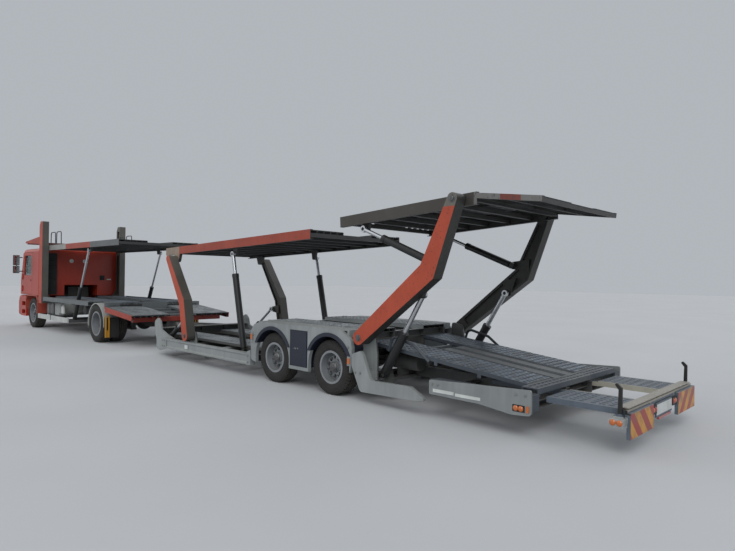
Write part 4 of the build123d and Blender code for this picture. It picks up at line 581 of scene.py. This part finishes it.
def galvanised(name, dark, light, dust_colour="#7c766b", patch_mm=260.0):
    """Hot-dip zinc on pressed steel: mottled grey-blue, brighter where tyres rub it, with dried mud."""
    material, tree, shader = new_material(name)
    place = add(tree, "ShaderNodeTexCoord", out="Object")
    # Spangles are 15 mm across, and the patches that tyres have rubbed are about a hand wide
    spangle = add(tree, "ShaderNodeTexVoronoi", {"Vector": place, "Scale": 1000 / 15.0}, out="Distance")
    rubbed = add(tree, "ShaderNodeTexNoise", {"Vector": place, "Scale": 1000 / patch_mm, "Detail": 5.0})
    mud = add(tree, "ShaderNodeTexNoise", {"Vector": place, "Scale": 1000 / 55.0, "Detail": 4.0})
    mottle = add(tree, "ShaderNodeMath", {
        "Value": spangle, "Value_001": 0.35, "Value_002": rubbed}, operation="MULTIPLY_ADD")
    spread = add(tree, "ShaderNodeMapRange", {"Value": mottle, "From Min": 0.35, "From Max": 0.95})
    zinc = add(tree, "ShaderNodeMix", {
        "Factor_Float": spread, "A_Color": dark, "B_Color": light}, **as_colour)
    dirt = add(tree, "ShaderNodeMapRange", {
        "Value": mud, "From Min": 0.50, "From Max": 0.72, "To Max": 0.75})
    dirty = add(tree, "ShaderNodeMix", {
        "Factor_Float": dirt, "A_Color": zinc, "B_Color": dust_colour}, **as_colour)
    gloss = add(tree, "ShaderNodeMapRange", {
        "Value": mud, "From Min": 0.35, "From Max": 0.7, "To Min": 0.34, "To Max": 0.70})
    bump = add(tree, "ShaderNodeBump", {"Height": mud, "Strength": 0.15, "Distance": 0.002})
    set_inputs(shader, {"Base Color": dirty, "Metallic": 0.55, "Roughness": gloss, "Normal": bump})
    return material


zinc_bright = galvanised("hot-dip galvanising, rubbed by tyres", "#5c6266", "#a2a8ac")
zinc_blue = galvanised("hot-dip galvanising, weathered", "#454d57", "#7f8a96")
# Near-black painted shade on the deck tops under the punched sheets, so that their shallow slots look like
# deep open holes
painted_shade_below_slots = "#16181b"
dress("truck_lower_deck", weathered_paint(
    "deck galvanising", "#5f6568", dust_colour="#7f7a70", chip_colour="#544a40", chips=0.35,
    patches=(
        ("#9c3220", {"X": (-2.42, -0.88), "side": (1.240, 1.26), "Z": (0.4, 0.93)}),
        ("#8e2c1f", {"X": (-1.24, -1.10), "Z": (0.59, 0.71)}),
        # Painted shade under the punched sheets of the floor and the platform
        (painted_shade_below_slots, {"side": lower_track, "X": (-7.13, -2.40)}),
        (painted_shade_below_slots, {"side": (0.335, 1.185), "X": (-2.40, -0.902), "Z": (0.74, 0.95)}),
)))
tread_plate("truck_floor_treads", "truck", (-7.12, 0, 1.0005), 0, 4.71, lower_track, zinc_blue)
platform_tilt = atan2(0.770 - 0.900, 1.5)
tread_plate("platform_treads", "truck", (-2.39, 0, 0.9000), platform_tilt, 1.48, (0.335, 1.18), zinc_bright)


# Truck's upper deck: side beams with recessed tracks on ribs, lifted on the masts by two cylinders.
# The beams' edge is white beside the masts, red for two metres and grey behind.
zinc_dark = galvanised("galvanising in soot and road film", "#2b2e31", "#4c5155", dust_colour="#4d4942")
deck_edge = (1.0485, 1.06)
dress("truck_upper_deck", weathered_paint(
    "upper deck paint", "#3c3d3e", dust_colour="#6f6a60", chips=0.3, patches=(
        ("#92928e", {"X": (-7.7, -5.85), "side": deck_edge}),
        ("#9c3622", {"X": (-5.85, -4.0), "side": deck_edge}),
        ("#5d6061", {"X": (-4.0, -2.0), "side": deck_edge}),
)))
# How far the tracks and the ribs between them lie under the beams' tops
track_drop, rib_drop = 0.0095, 0.0545
upper_track, between_tracks = (0.335, 1.035), (-0.325, 0.325)
walkway = {"slot_size": (0.022, 0.022), "pitch": (0.11, 0.108), "lip": 0.002, "both_sides": False}
tread_plate("truck_upper_treads", "truck_upper_deck", (-7.51, 0, 2.56 - track_drop), 0, 5.35,
            upper_track, zinc_dark)
tread_plate("truck_upper_walkway", "truck_upper_deck", (-7.51, 0, 2.56 - rib_drop), 0, 5.35,
            between_tracks, zinc_dark, **walkway)


# Rear part's frame: cranked drawbar, low floor between grooved side rails, and the leg plates.
# It is welded steel in a light grey that road dirt has dulled, with galvanised treads on the floor.
dress("trailer_frame", weathered_paint(
    "light grey frame paint", "#8b9090", dust_colour="#857d70", chip_colour="#5a4c42",
    patches=(
        ("#4c4d4d", {"side": (-0.1, 1.045)}),
        # Painted shade under the low floor's punched sheet
        (painted_shade_below_slots, {"side": lower_track, "X": (0.2, 3.73), "Z": (0.42, 0.46)}),
)))
tread_plate("low_floor_treads", "rear_part", (0.21, 0, 0.4505), 0, 3.51, lower_track, zinc_bright)
dress("wheel_housing", weathered_paint(
    "light grey housing paint", "#8a8f90", dust_colour="#857d70", chip_colour="#5a4c42",
    chips=0.2, patches=(
        ("#4c4d4d", {"side": (-0.1, 0.902), "Z": (0.2, 0.90)}),
        # Painted shade under the housing's punched sheet
        (painted_shade_below_slots, {"side": (0.335, 0.875), "Z": (0.90, 0.96)}),
)))
tread_plate("housing_treads", "rear_part", (3.82, 0, 0.9505), 0, 2.30, (0.335, 0.875), zinc_bright)
# The patch on the locker's door is its handle, left bright
locker_blue = weathered_paint(
    "dark blue enamel", "#151d30", dust_colour="#6f6a62", dust=0.2, chip_colour="#4a4440", chips=0.1,
    roughness=0.4, patches=(
        ("#b9bab6", {"side": (1.2385, 1.26), "Z": (0.588, 0.614), "X": (4.83, 4.97)}),
))
dress("rear_mudguards", locker_blue)
dress("lockers", locker_blue)


# Rear lower deck: two sloping tracks, loading ramps stowed between them and a punched end piece.
# The side beams are light grey, and the tracks are galvanised steel gone blue-grey.
dress("rear_lower_deck", weathered_paint(
    "rear deck paint", "#454c55", dust_colour="#6f6a62", dust=0.25, chip_colour="#5a4c42", chips=0.3,
    patches=(
        ("#848989", {"side": (1.215, 1.26)}),
        ("#53585c", {"side": (-0.1, 0.295)}),
        # Painted shade under the sloping tracks' punched sheets
        (painted_shade_below_slots, {"side": lower_track, "X": (6.14, 8.598)}),
)))
slope_tilt = atan2(0.525 - 0.800, 8.6 - 6.15)
tread_plate("slope_treads", "rear_part", (6.16, 0, 0.7990), slope_tilt, 2.43, lower_track, zinc_blue)


# Slide-out tail: punched tracks on two rails and a cross beam, drawn out behind the last wheels.
# It is galvanised steel too, with a worn bright rail, black posts and painted lamp brackets.
dress("tail", weathered_paint(
    "tail galvanising", "#58626e", dust_colour="#77736a", dust=0.25, chip_colour="#4d443c", chips=0.3,
    patches=(
        ("#a8a496", {"side": (0.385, 0.405), "Z": (0.37, 0.45)}),
        ("#9a958a", {"X": (9.60, 9.72), "Z": (0.43, 0.48)}),
        ("#a3a7a6", {"side": (0.985, 1.16), "Z": (0.29, 0.385), "X": (9.5, 9.72)}),
        ("#141415", {"side": (1.055, 1.095), "Z": (0.41, 0.72)}),
        ("#141415", {"X": (9.70, 9.713), "side": (-0.1, 0.27), "Z": (0.24, 0.41)}),
)))


# Posts and arms: long box sections of folded plate, pinned at both ends and lifted by cylinders.
# Only their outer faces have the orange, and the other sides are dark grey with grease and dust.
# The arms' rounded heads have lost theirs to the pins that turn in them.
outer_face = (1.2485, 1.3)
lift_orange = ("#b0401f", {"side": outer_face})
dress("front_posts", weathered_paint(
    "front post enamel", "#45443f", chips=0.3, patches=(lift_orange,)))
dress("rear_arms", weathered_paint(
    "rear arm enamel", "#272725", chips=0.3, patches=(
        lift_orange,
        ("#6b675f", {"side": outer_face, "Z": (2.54, 2.8)}),
)))
deck_tilt = {"front": radians(2.07), "rear": radians(3.7), "flap": radians(-7.4)}
dress("front_upper_deck", weathered_paint(
    "front deck paint", "#363738", dust_colour="#6f6a60", chips=0.3, patches=(
        ("#93806f", {"X": (0.0, 0.86), "side": deck_edge}),
        ("#9a3820", {"X": (0.86, 5.2), "side": deck_edge}),
)))


def deck_point(origin, tilt, along, rise):
    """A point in a tilted deck's plane, so far along it and so far above it."""
    return (origin[0] + along * cos(tilt) - rise * sin(tilt), 0,
            origin[1] + along * sin(tilt) + rise * cos(tilt))


front_origin, front_tilt = (0.290, 2.2577), deck_tilt["front"]
tread_plate("front_deck_treads", "front_upper_deck", deck_point(front_origin, front_tilt, 0.01, -track_drop),
            front_tilt, 4.68, upper_track, zinc_dark)
tread_plate("front_deck_walkway", "front_upper_deck", deck_point(front_origin, front_tilt, 0.01, -rib_drop),
            front_tilt, 4.68, between_tracks, zinc_dark, **walkway)
dress("rear_upper_deck", weathered_paint(
    "rear upper deck paint", "#3b3b3b", dust_colour="#6f6a60", chips=0.3, patches=(
        ("#3f3b36", {"X": (5.0, 7.95), "side": deck_edge}),
        ("#6f6e6b", {"X": (7.95, 8.3), "side": deck_edge}),
        ("#74362b", {"X": (8.3, 8.56), "side": deck_edge}),
        ("#6f6e6b", {"X": (8.56, 9.0), "side": deck_edge}),
)))
rear_origin = (5.660, 2.5632)
flap_origin = (7.945, 2.7036)
for part, origin, tilt, length in (("rear_deck", rear_origin, deck_tilt["rear"], 2.31),
                                   ("flap", flap_origin, deck_tilt["flap"], 0.87)):
    tread_plate(f"{part}_treads", "rear_upper_deck", deck_point(origin, tilt, 0.01, -track_drop),
                tilt, length, upper_track, zinc_dark)
    drop = rib_drop if part == "rear_deck" else 0.0175
    tread_plate(f"{part}_walkway", "rear_upper_deck", deck_point(origin, tilt, 0.01, -drop),
                tilt, length, between_tracks, zinc_dark, **walkway)


# Lift cylinders: honed tube barrels in black paint, and rods of ground steel with hard chrome.
# The glands at the barrels' mouths are turned steel, and the rods carry a film of oil.
barrel_black = weathered_paint(
    "black barrel paint", "#191a1b", dust_colour="#4f4b45", dust=0.25, chips=0.2, roughness=0.38)
chrome, tree, shader = new_material("hard chrome on ground steel")
place = add(tree, "ShaderNodeTexCoord", out="Object")
smears = add(tree, "ShaderNodeTexNoise", {"Vector": place, "Scale": 1000 / 60.0, "Detail": 4.0})
gloss = add(tree, "ShaderNodeMapRange", {
    "Value": smears, "From Min": 0.3, "From Max": 0.7, "To Min": 0.22, "To Max": 0.42})
set_inputs(shader, {"Base Color": "#c9cbce", "Metallic": 1.0, "Roughness": gloss})
for name in ("truck_deck", "front_deck", "brace", "arm", "tilt"):
    dress(f"{name}_barrels", barrel_black)
    dress(f"{name}_rods", chrome)


# Lamps: acrylic lenses moulded with fine ribs, clipped into black housings that are screwed on.
# Amber ones mark the sides, red and amber ones the tail, and clear ones are the headlamps.
def pressed_block(low, high, facing, rim=0.006, step=-0.003, bevel=0.003):
    """A block with rounded edges whose face towards facing is inset and raised or sunk."""
    low, high, facing = Vector(low), Vector(high), Vector(facing)
    clear_selection()
    bpy.ops.mesh.primitive_cube_add(size=1)
    piece = bpy.context.object
    piece.data.transform(Matrix.Translation((low + high) / 2) @ Matrix.Diagonal((*(high - low), 1)))
    bpy.ops.object.mode_set(mode="EDIT")
    bpy.ops.mesh.select_all(action="SELECT")
    bpy.ops.mesh.bevel(offset=bevel, segments=2, affect="EDGES")
    select_faces(piece, lambda middle, normal: normal.dot(facing) > 0.99)
    bpy.ops.mesh.inset(thickness=rim, depth=step)
    bpy.ops.object.mode_set(mode="OBJECT")
    return piece


def on_both_sides(pieces, *finish):
    """Settles the pieces and their mirror images across the centre line as one."""
    settle(joined(pieces + [copy_of(piece, Matrix.Diagonal((1, -1, 1, 1))) for piece in pieces]), *finish)


def lens_acrylic(name, colour):
    """Moulded acrylic: smooth and glossy, with ribs 4 mm apart that are drawn 8 mm apart."""
    material, tree, shader = new_material(name)
    place = add(tree, "ShaderNodeTexCoord", out="Object")
    ribs = add(tree, "ShaderNodeTexWave", {"Vector": place, "Scale": 2 * pi / 20 / 0.008}, out="Fac",
               bands_direction="DIAGONAL")
    film = add(tree, "ShaderNodeTexNoise", {"Vector": place, "Scale": 1000 / 30.0, "Detail": 3.0})
    tone = add(tree, "ShaderNodeMix", {
        "Factor_Float": film, "A_Color": colour, "B_Color": "#8a7a68"}, **as_colour)
    clean = add(tree, "ShaderNodeMix", {
        "Factor_Float": 0.35, "A_Color": colour, "B_Color": tone}, **as_colour)
    bump = add(tree, "ShaderNodeBump", {"Height": ribs, "Strength": 0.35, "Distance": 0.001})
    set_inputs(shader, {"Base Color": clean, "Roughness": 0.18, "Coat Weight": 0.6, "Normal": bump})
    return material


amber_acrylic = lens_acrylic("amber acrylic lens", "#c8620c")
red_acrylic = lens_acrylic("red acrylic lens", "#a3121a")
clear_acrylic = lens_acrylic("clear acrylic lens over chrome", "#b9c0c4")
side_face = 1.2495
side_lamps = []
for x_low, x_high, z_low, z_high in (
        (3.742, 3.786, 0.645, 0.735), (6.062, 6.108, 0.495, 0.575), (8.762, 8.795, 0.292, 0.362)):
    side_lamps.append(pressed_block(
        (x_low, -side_face - 0.012, z_low), (x_high, -side_face, z_high), (0, -1, 0)))
on_both_sides(side_lamps, "side_lamps", amber_acrylic, "rear_part", "clear_glass")

# A round lens is turned: a low dome in a flat ring
round_lens = turned([
    (0.0, 0.030), (0.006, 0.030), (0.009, 0.027), (0.014, 0.021), (0.018, 0.011), (0.019, 0.0)], 24,
    smooth=35)
to_left = Matrix.Rotation(pi, 4, "Z")
to_rear = Matrix.Rotation(-pi / 2, 4, "Z")
beam_lenses = [copy_of(round_lens, Matrix.Translation((x, -side_face - 0.004, 0.325)) @ to_left)
               for x in (8.64, 8.70)]
beam_plates = [pressed_block((8.600, -side_face - 0.005, 0.288), (8.745, -side_face, 0.362), (0, -1, 0))]
on_both_sides(beam_lenses, "beam_reflectors", amber_acrylic, "rear_part", "clear_glass")
on_both_sides(beam_plates, "beam_reflector_plates", black_plastic, "rear_part", "black_plastic")
tail_side = 1.150
tail_lenses = [copy_of(round_lens, Matrix.Translation((x, -tail_side, 0.336)) @ to_left)
               for x in (9.608, 9.672)]
on_both_sides(tail_lenses, "tail_side_lamps", amber_acrylic, "tail", "clear_glass")
tail_face = 9.712
clusters = [pressed_block(
    (tail_face, -0.412, 0.300), (tail_face + 0.026, -0.272, 0.392), (1, 0, 0), step=-0.004)]
on_both_sides(clusters, "tail_lamp_housings", black_plastic, "tail", "black_plastic")
for name, y, material in (
        ("tail_red_lenses", 0.308, red_acrylic), ("tail_amber_lenses", 0.376, amber_acrylic)):
    lens = copy_of(round_lens, Matrix.Translation((tail_face + 0.017, -y, 0.346)) @ to_rear)
    on_both_sides([lens], name, material, "tail", "clear_glass")
settle(
    pressed_block((tail_face, -0.20, 0.224), (tail_face + 0.024, 0.20, 0.2505), (1, 0, 0)),
    "tail_lamp_bar", red_acrylic, "tail", "clear_glass")
headlamp = turned([
    (0.0, 0.050), (0.004, 0.050), (0.006, 0.044), (0.010, 0.036), (0.013, 0.018), (0.014, 0.0)], 40,
    smooth=35)
to_front = Matrix.Rotation(pi / 2, 4, "Z")
headlamps = [copy_of(headlamp, Matrix.Translation((-9.744, -y, 0.665)) @ to_front) for y in (0.92, 1.04)]
on_both_sides(headlamps, "headlamp_lenses", clear_acrylic, "truck", "clear_glass")
indicators = [pressed_block((-9.744, -1.115, 0.742), (-9.728, -0.845, 0.772), (-1, 0, 0))]
on_both_sides(indicators, "front_indicators", amber_acrylic, "truck", "clear_glass")
for spare in (round_lens, headlamp):
    bpy.data.objects.remove(spare)


# Signs at the tail and strips on the sides: aluminium sheet of 2 mm under reflective film.
# The two boards have slanting red and yellow-orange bands, and the plate between them is blank.
board_film, tree, shader = new_material("reflective film, red on yellow-orange")
place = add(tree, "ShaderNodeTexCoord", out="Object")
split = add(tree, "ShaderNodeSeparateXYZ", {"Vector": place}).node.outputs
sideways = add(tree, "ShaderNodeMath", {"Value": split["Y"]}, operation="ABSOLUTE")
slanted = add(tree, "ShaderNodeMath", {"Value": sideways, "Value_001": split["Z"]}, operation="SUBTRACT")
# Bands are 140 mm across, measured along the board
band_number = add(tree, "ShaderNodeMath", {"Value": slanted, "Value_001": 0.28}, operation="MODULO")
is_red = add(tree, "ShaderNodeMath", {"Value": band_number, "Value_001": 0.14}, operation="LESS_THAN")
grime = add(tree, "ShaderNodeTexNoise", {"Vector": place, "Scale": 1000 / 120.0, "Detail": 5.0})
bands = add(tree, "ShaderNodeMix", {
    "Factor_Float": is_red, "A_Color": "#c98a17", "B_Color": "#9b2418"}, **as_colour)
dirty = add(tree, "ShaderNodeMapRange", {
    "Value": grime, "From Min": 0.45, "From Max": 0.75, "To Max": 0.7})
tone = add(tree, "ShaderNodeMix", {
    "Factor_Float": dirty, "A_Color": bands, "B_Color": "#5c4c3e"}, **as_colour)
# The film's cells are 3 mm across, drawn at 9 mm so that they show
cells = add(tree, "ShaderNodeTexVoronoi", {"Vector": place, "Scale": 1000 / 9.0}, out="Distance")
bump = add(tree, "ShaderNodeBump", {"Height": cells, "Strength": 0.2, "Distance": 0.001})
set_inputs(shader, {"Base Color": tone, "Roughness": 0.3, "Normal": bump})
boards = [pressed_block(
    (9.7475, -1.076, 0.179), (9.7515, -0.424, 0.421), (1, 0, 0), rim=0.012, step=-0.0006, bevel=0.0008)]
on_both_sides(boards, "marker_boards", board_film, "tail", "orange_paint")

white_film = weathered_paint(
    "white reflective film", "#c9ccca", dust_colour="#8f897c", dust=0.2, chip_colour="#6d655c",
    chips=0.2, roughness=0.3, tone_mm=200.0)
settle(
    pressed_block((9.7275, -0.255, 0.272), (9.7305, 0.255, 0.385), (1, 0, 0), rim=0.008, step=-0.0007,
    bevel=0.0015), "blank_plate", white_film, "tail", "frame_grey")
strips = []
for x_low, x_high, z_low, z_high in (
        (7.54, 7.84, 0.332, 0.372), (7.86, 8.20, 0.326, 0.362), (1.52, 1.64, 0.270, 0.345)):
    strips.append(pressed_block(
        (x_low, -side_face - 0.004, z_low), (x_high, -side_face, z_high), (0, -1, 0),
        rim=0.005, step=-0.001, bevel=0.0015))
on_both_sides(strips, "side_strips", white_film, "rear_part", "frame_grey")


# Mirror glass and the cab's small fittings: silvered plate behind a rubber edge, two bare round discs
# of coated sheet riveted to the back wall, and a moulded air vent with louvres beside them.
mirror_silver, tree, shader = new_material("silvered glass with a dust film")
place = add(tree, "ShaderNodeTexCoord", out="Object")
film = add(tree, "ShaderNodeTexNoise", {"Vector": place, "Scale": 1000 / 45.0, "Detail": 4.0})
gloss = add(tree, "ShaderNodeMapRange", {
    "Value": film, "From Min": 0.4, "From Max": 0.8, "To Min": 0.04, "To Max": 0.30})
set_inputs(shader, {"Base Color": "#c4c9cc", "Metallic": 1.0, "Roughness": gloss})
glasses = []
for z_low, z_high in ((1.715, 1.925), (1.975, 2.275)):
    glasses.append(pressed_block(
        (-9.362, -1.470, z_low), (-9.358, -1.320, z_high), (1, 0, 0),
        rim=0.006, step=-0.001, bevel=0.0015))
on_both_sides(glasses, "mirror_glasses", mirror_silver, "truck", "clear_glass")

wall_face = -7.620
disc = turned([
    (0.0, 0.062), (0.003, 0.062), (0.004, 0.060), (0.004, 0.050), (0.003, 0.048), (0.003, 0.0)], 40,
    smooth=35)
discs = [copy_of(disc, Matrix.Translation((wall_face, y, 2.11)) @ to_rear) for y in (-0.30, 0.10)]
bpy.data.objects.remove(disc)
discs.append(pressed_block(
    (wall_face, 0.80, 1.515), (wall_face + 0.003, 0.93, 1.550), (1, 0, 0), rim=0.004, step=-0.0008,
    bevel=0.001))
settle(joined(discs), "back_wall_discs", white_film, "truck", "frame_grey")
vent = [pressed_block(
    (wall_face, 0.57, 1.51), (wall_face + 0.010, 0.72, 1.66), (1, 0, 0), rim=0.012, step=-0.006,
    bevel=0.003)]
for number in range(5):
    louvre = pressed_block(
        (wall_face + 0.002, 0.583, -0.009), (wall_face + 0.006, 0.707, 0.009), (1, 0, 0), rim=0.003,
        step=0.001, bevel=0.001)
    louvre.data.transform(Matrix.Translation((0, 0, 1.535 + 0.025 * number)))
    vent.append(louvre)
settle(joined(vent), "cab_vent", black_plastic, "truck", "black_plastic")


# Wipers: two pressed steel arms on spindles under the windscreen, each with a jointed blade and a
# rubber lip. They are sprayed black and park at the foot of the glass.
glass_foot = Vector((-9.574, 0, 1.561))
up_glass = Vector((0.223, 0, 0.765)).normalized()
off_glass = Vector((-up_glass.z, 0, up_glass.x))
on_glass = Matrix.Translation(glass_foot) @ Matrix(((0, -1, 0), up_glass, off_glass)).transposed().to_4x4()
arm_reach = Vector((0.26, 0.115, 0))
wipers = []
for across in (-0.47, 0.28):
    spindle_at = Matrix.Translation((across, -0.040, 0))
    spindle = turned([(0.016, 0.0), (0.016, 0.024), (0.040, 0.021), (0.046, 0.016), (0.046, 0.0)], 24)
    spindle.data.transform(spindle_at @ Matrix.Rotation(pi / 2, 4, "X"))
    arm = pressed_block(
        (0, -0.010, 0.031), (arm_reach.length, 0.010, 0.041), (0, 0, 1), rim=0.004, step=-0.002,
        bevel=0.002)
    arm.data.transform(spindle_at @ Matrix.Rotation(atan2(arm_reach.y, arm_reach.x), 4, "Z"))
    blade = pressed_block(
        (-0.28, -0.007, 0.012), (0.28, 0.007, 0.032), (0, 0, 1), rim=0.003, step=0.003, bevel=0.002)
    lip = pressed_block(
        (-0.285, -0.0025, 0.0065), (0.285, 0.0025, 0.0130), (0, 0, -1), rim=0.001, step=0.0005,
        bevel=0.0005)
    for piece in (blade, lip):
        piece.data.transform(
            spindle_at @ Matrix.Translation(arm_reach) @ Matrix.Rotation(radians(4), 4, "Z"))
    wipers += [spindle, arm, blade, lip]
whole = joined(wipers)
whole.data.transform(on_glass)
settle(whole, "wipers", black_plastic, "truck", "black_plastic")


# Bolts: zinc-plated hexagon heads of 19 mm on washers, in rows where plates meet and at each lug.
# One head is shaped and copied to every place, and dirt has dulled them all.
bolt_steel = weathered_paint(
    "zinc-plated bolt", "#7d7f7e", dust_colour="#5f584e", dust=0.35, chip_colour="#4a3a2e", chips=0.4,
    roughness=0.4, tone_mm=60.0, chip_mm=8.0)
head_r, head_height, washer_r, washer_height = 0.0125, 0.010, 0.019, 0.003
clear_selection()
bpy.ops.mesh.primitive_cylinder_add(
    vertices=6, radius=head_r, depth=head_height, location=(0, 0, head_height / 2 + 0.002))
bolt = bpy.context.object
bpy.ops.object.transform_apply()
bpy.ops.object.mode_set(mode="EDIT")
select_faces(bolt, lambda middle, normal: normal.z > 0.9)
bpy.ops.mesh.bevel(offset=0.002)
bpy.ops.object.mode_set(mode="OBJECT")
clear_selection()
bpy.ops.mesh.primitive_cylinder_add(
    vertices=16, radius=washer_r, depth=washer_height, location=(0, 0, washer_height / 2))
washer = bpy.context.object
bpy.ops.object.transform_apply()
bpy.ops.object.mode_set(mode="EDIT")
select_faces(washer, lambda middle, normal: normal.z > 0.9)
bpy.ops.mesh.inset(thickness=0.003, depth=0.0008)
bpy.ops.object.mode_set(mode="OBJECT")
bolt = joined([bolt, washer])
facing_out = Matrix.Rotation(pi / 2, 4, "X")
for name, body, places in (
        ("rail_bolts", "rear_part",
         [(x, -side_face, z) for x in (0.60, 0.68, 3.66) for z in (0.25, 0.36)]
         + [(6.22 + 0.09 * number, -side_face, 0.40) for number in range(2)]
         + [(x, -side_face, z) for x, z in ((7.53, 0.425), (7.61, 0.425), (8.64, 0.47), (8.75, 0.47))]
         + [(x, -1.2375, z) for x in (3.80, 6.06) for z in (0.66, 0.72)]),
        ("mast_bolts", "truck",
         [(x, -1.2495, z) for x in (-7.50, -7.32) for z in (0.90, 0.96)])):
    copies = [copy_of(bolt, Matrix.Translation(place) @ facing_out) for place in places]
    on_both_sides(copies, name, bolt_steel, body, "track_steel")
bpy.data.objects.remove(bolt)


# Pivot pins: turned steel heads held by a keeper plate, on the outer faces of the posts and arms.
# They are bare and greasy, as the hubs are.
pin_head = turned([
    (0.0, 0.046), (0.005, 0.046), (0.007, 0.043), (0.007, 0.030), (0.014, 0.029), (0.016, 0.026),
    (0.016, 0.010), (0.012, 0.008), (0.012, 0.0)], 32, smooth=30)
for name, body, x, z in (
        ("post_pins", "front_posts", 1.500, 0.515), ("arm_foot_pins", "rear_arms", 6.260, 0.870),
        ("arm_head_pins", "rear_arms", 7.780, 2.630)):
    head = copy_of(pin_head, Matrix.Translation((x, -1.2495, z)) @ to_left)
    on_both_sides([head], name, hub_steel, body, "track_steel")
bpy.data.objects.remove(pin_head)
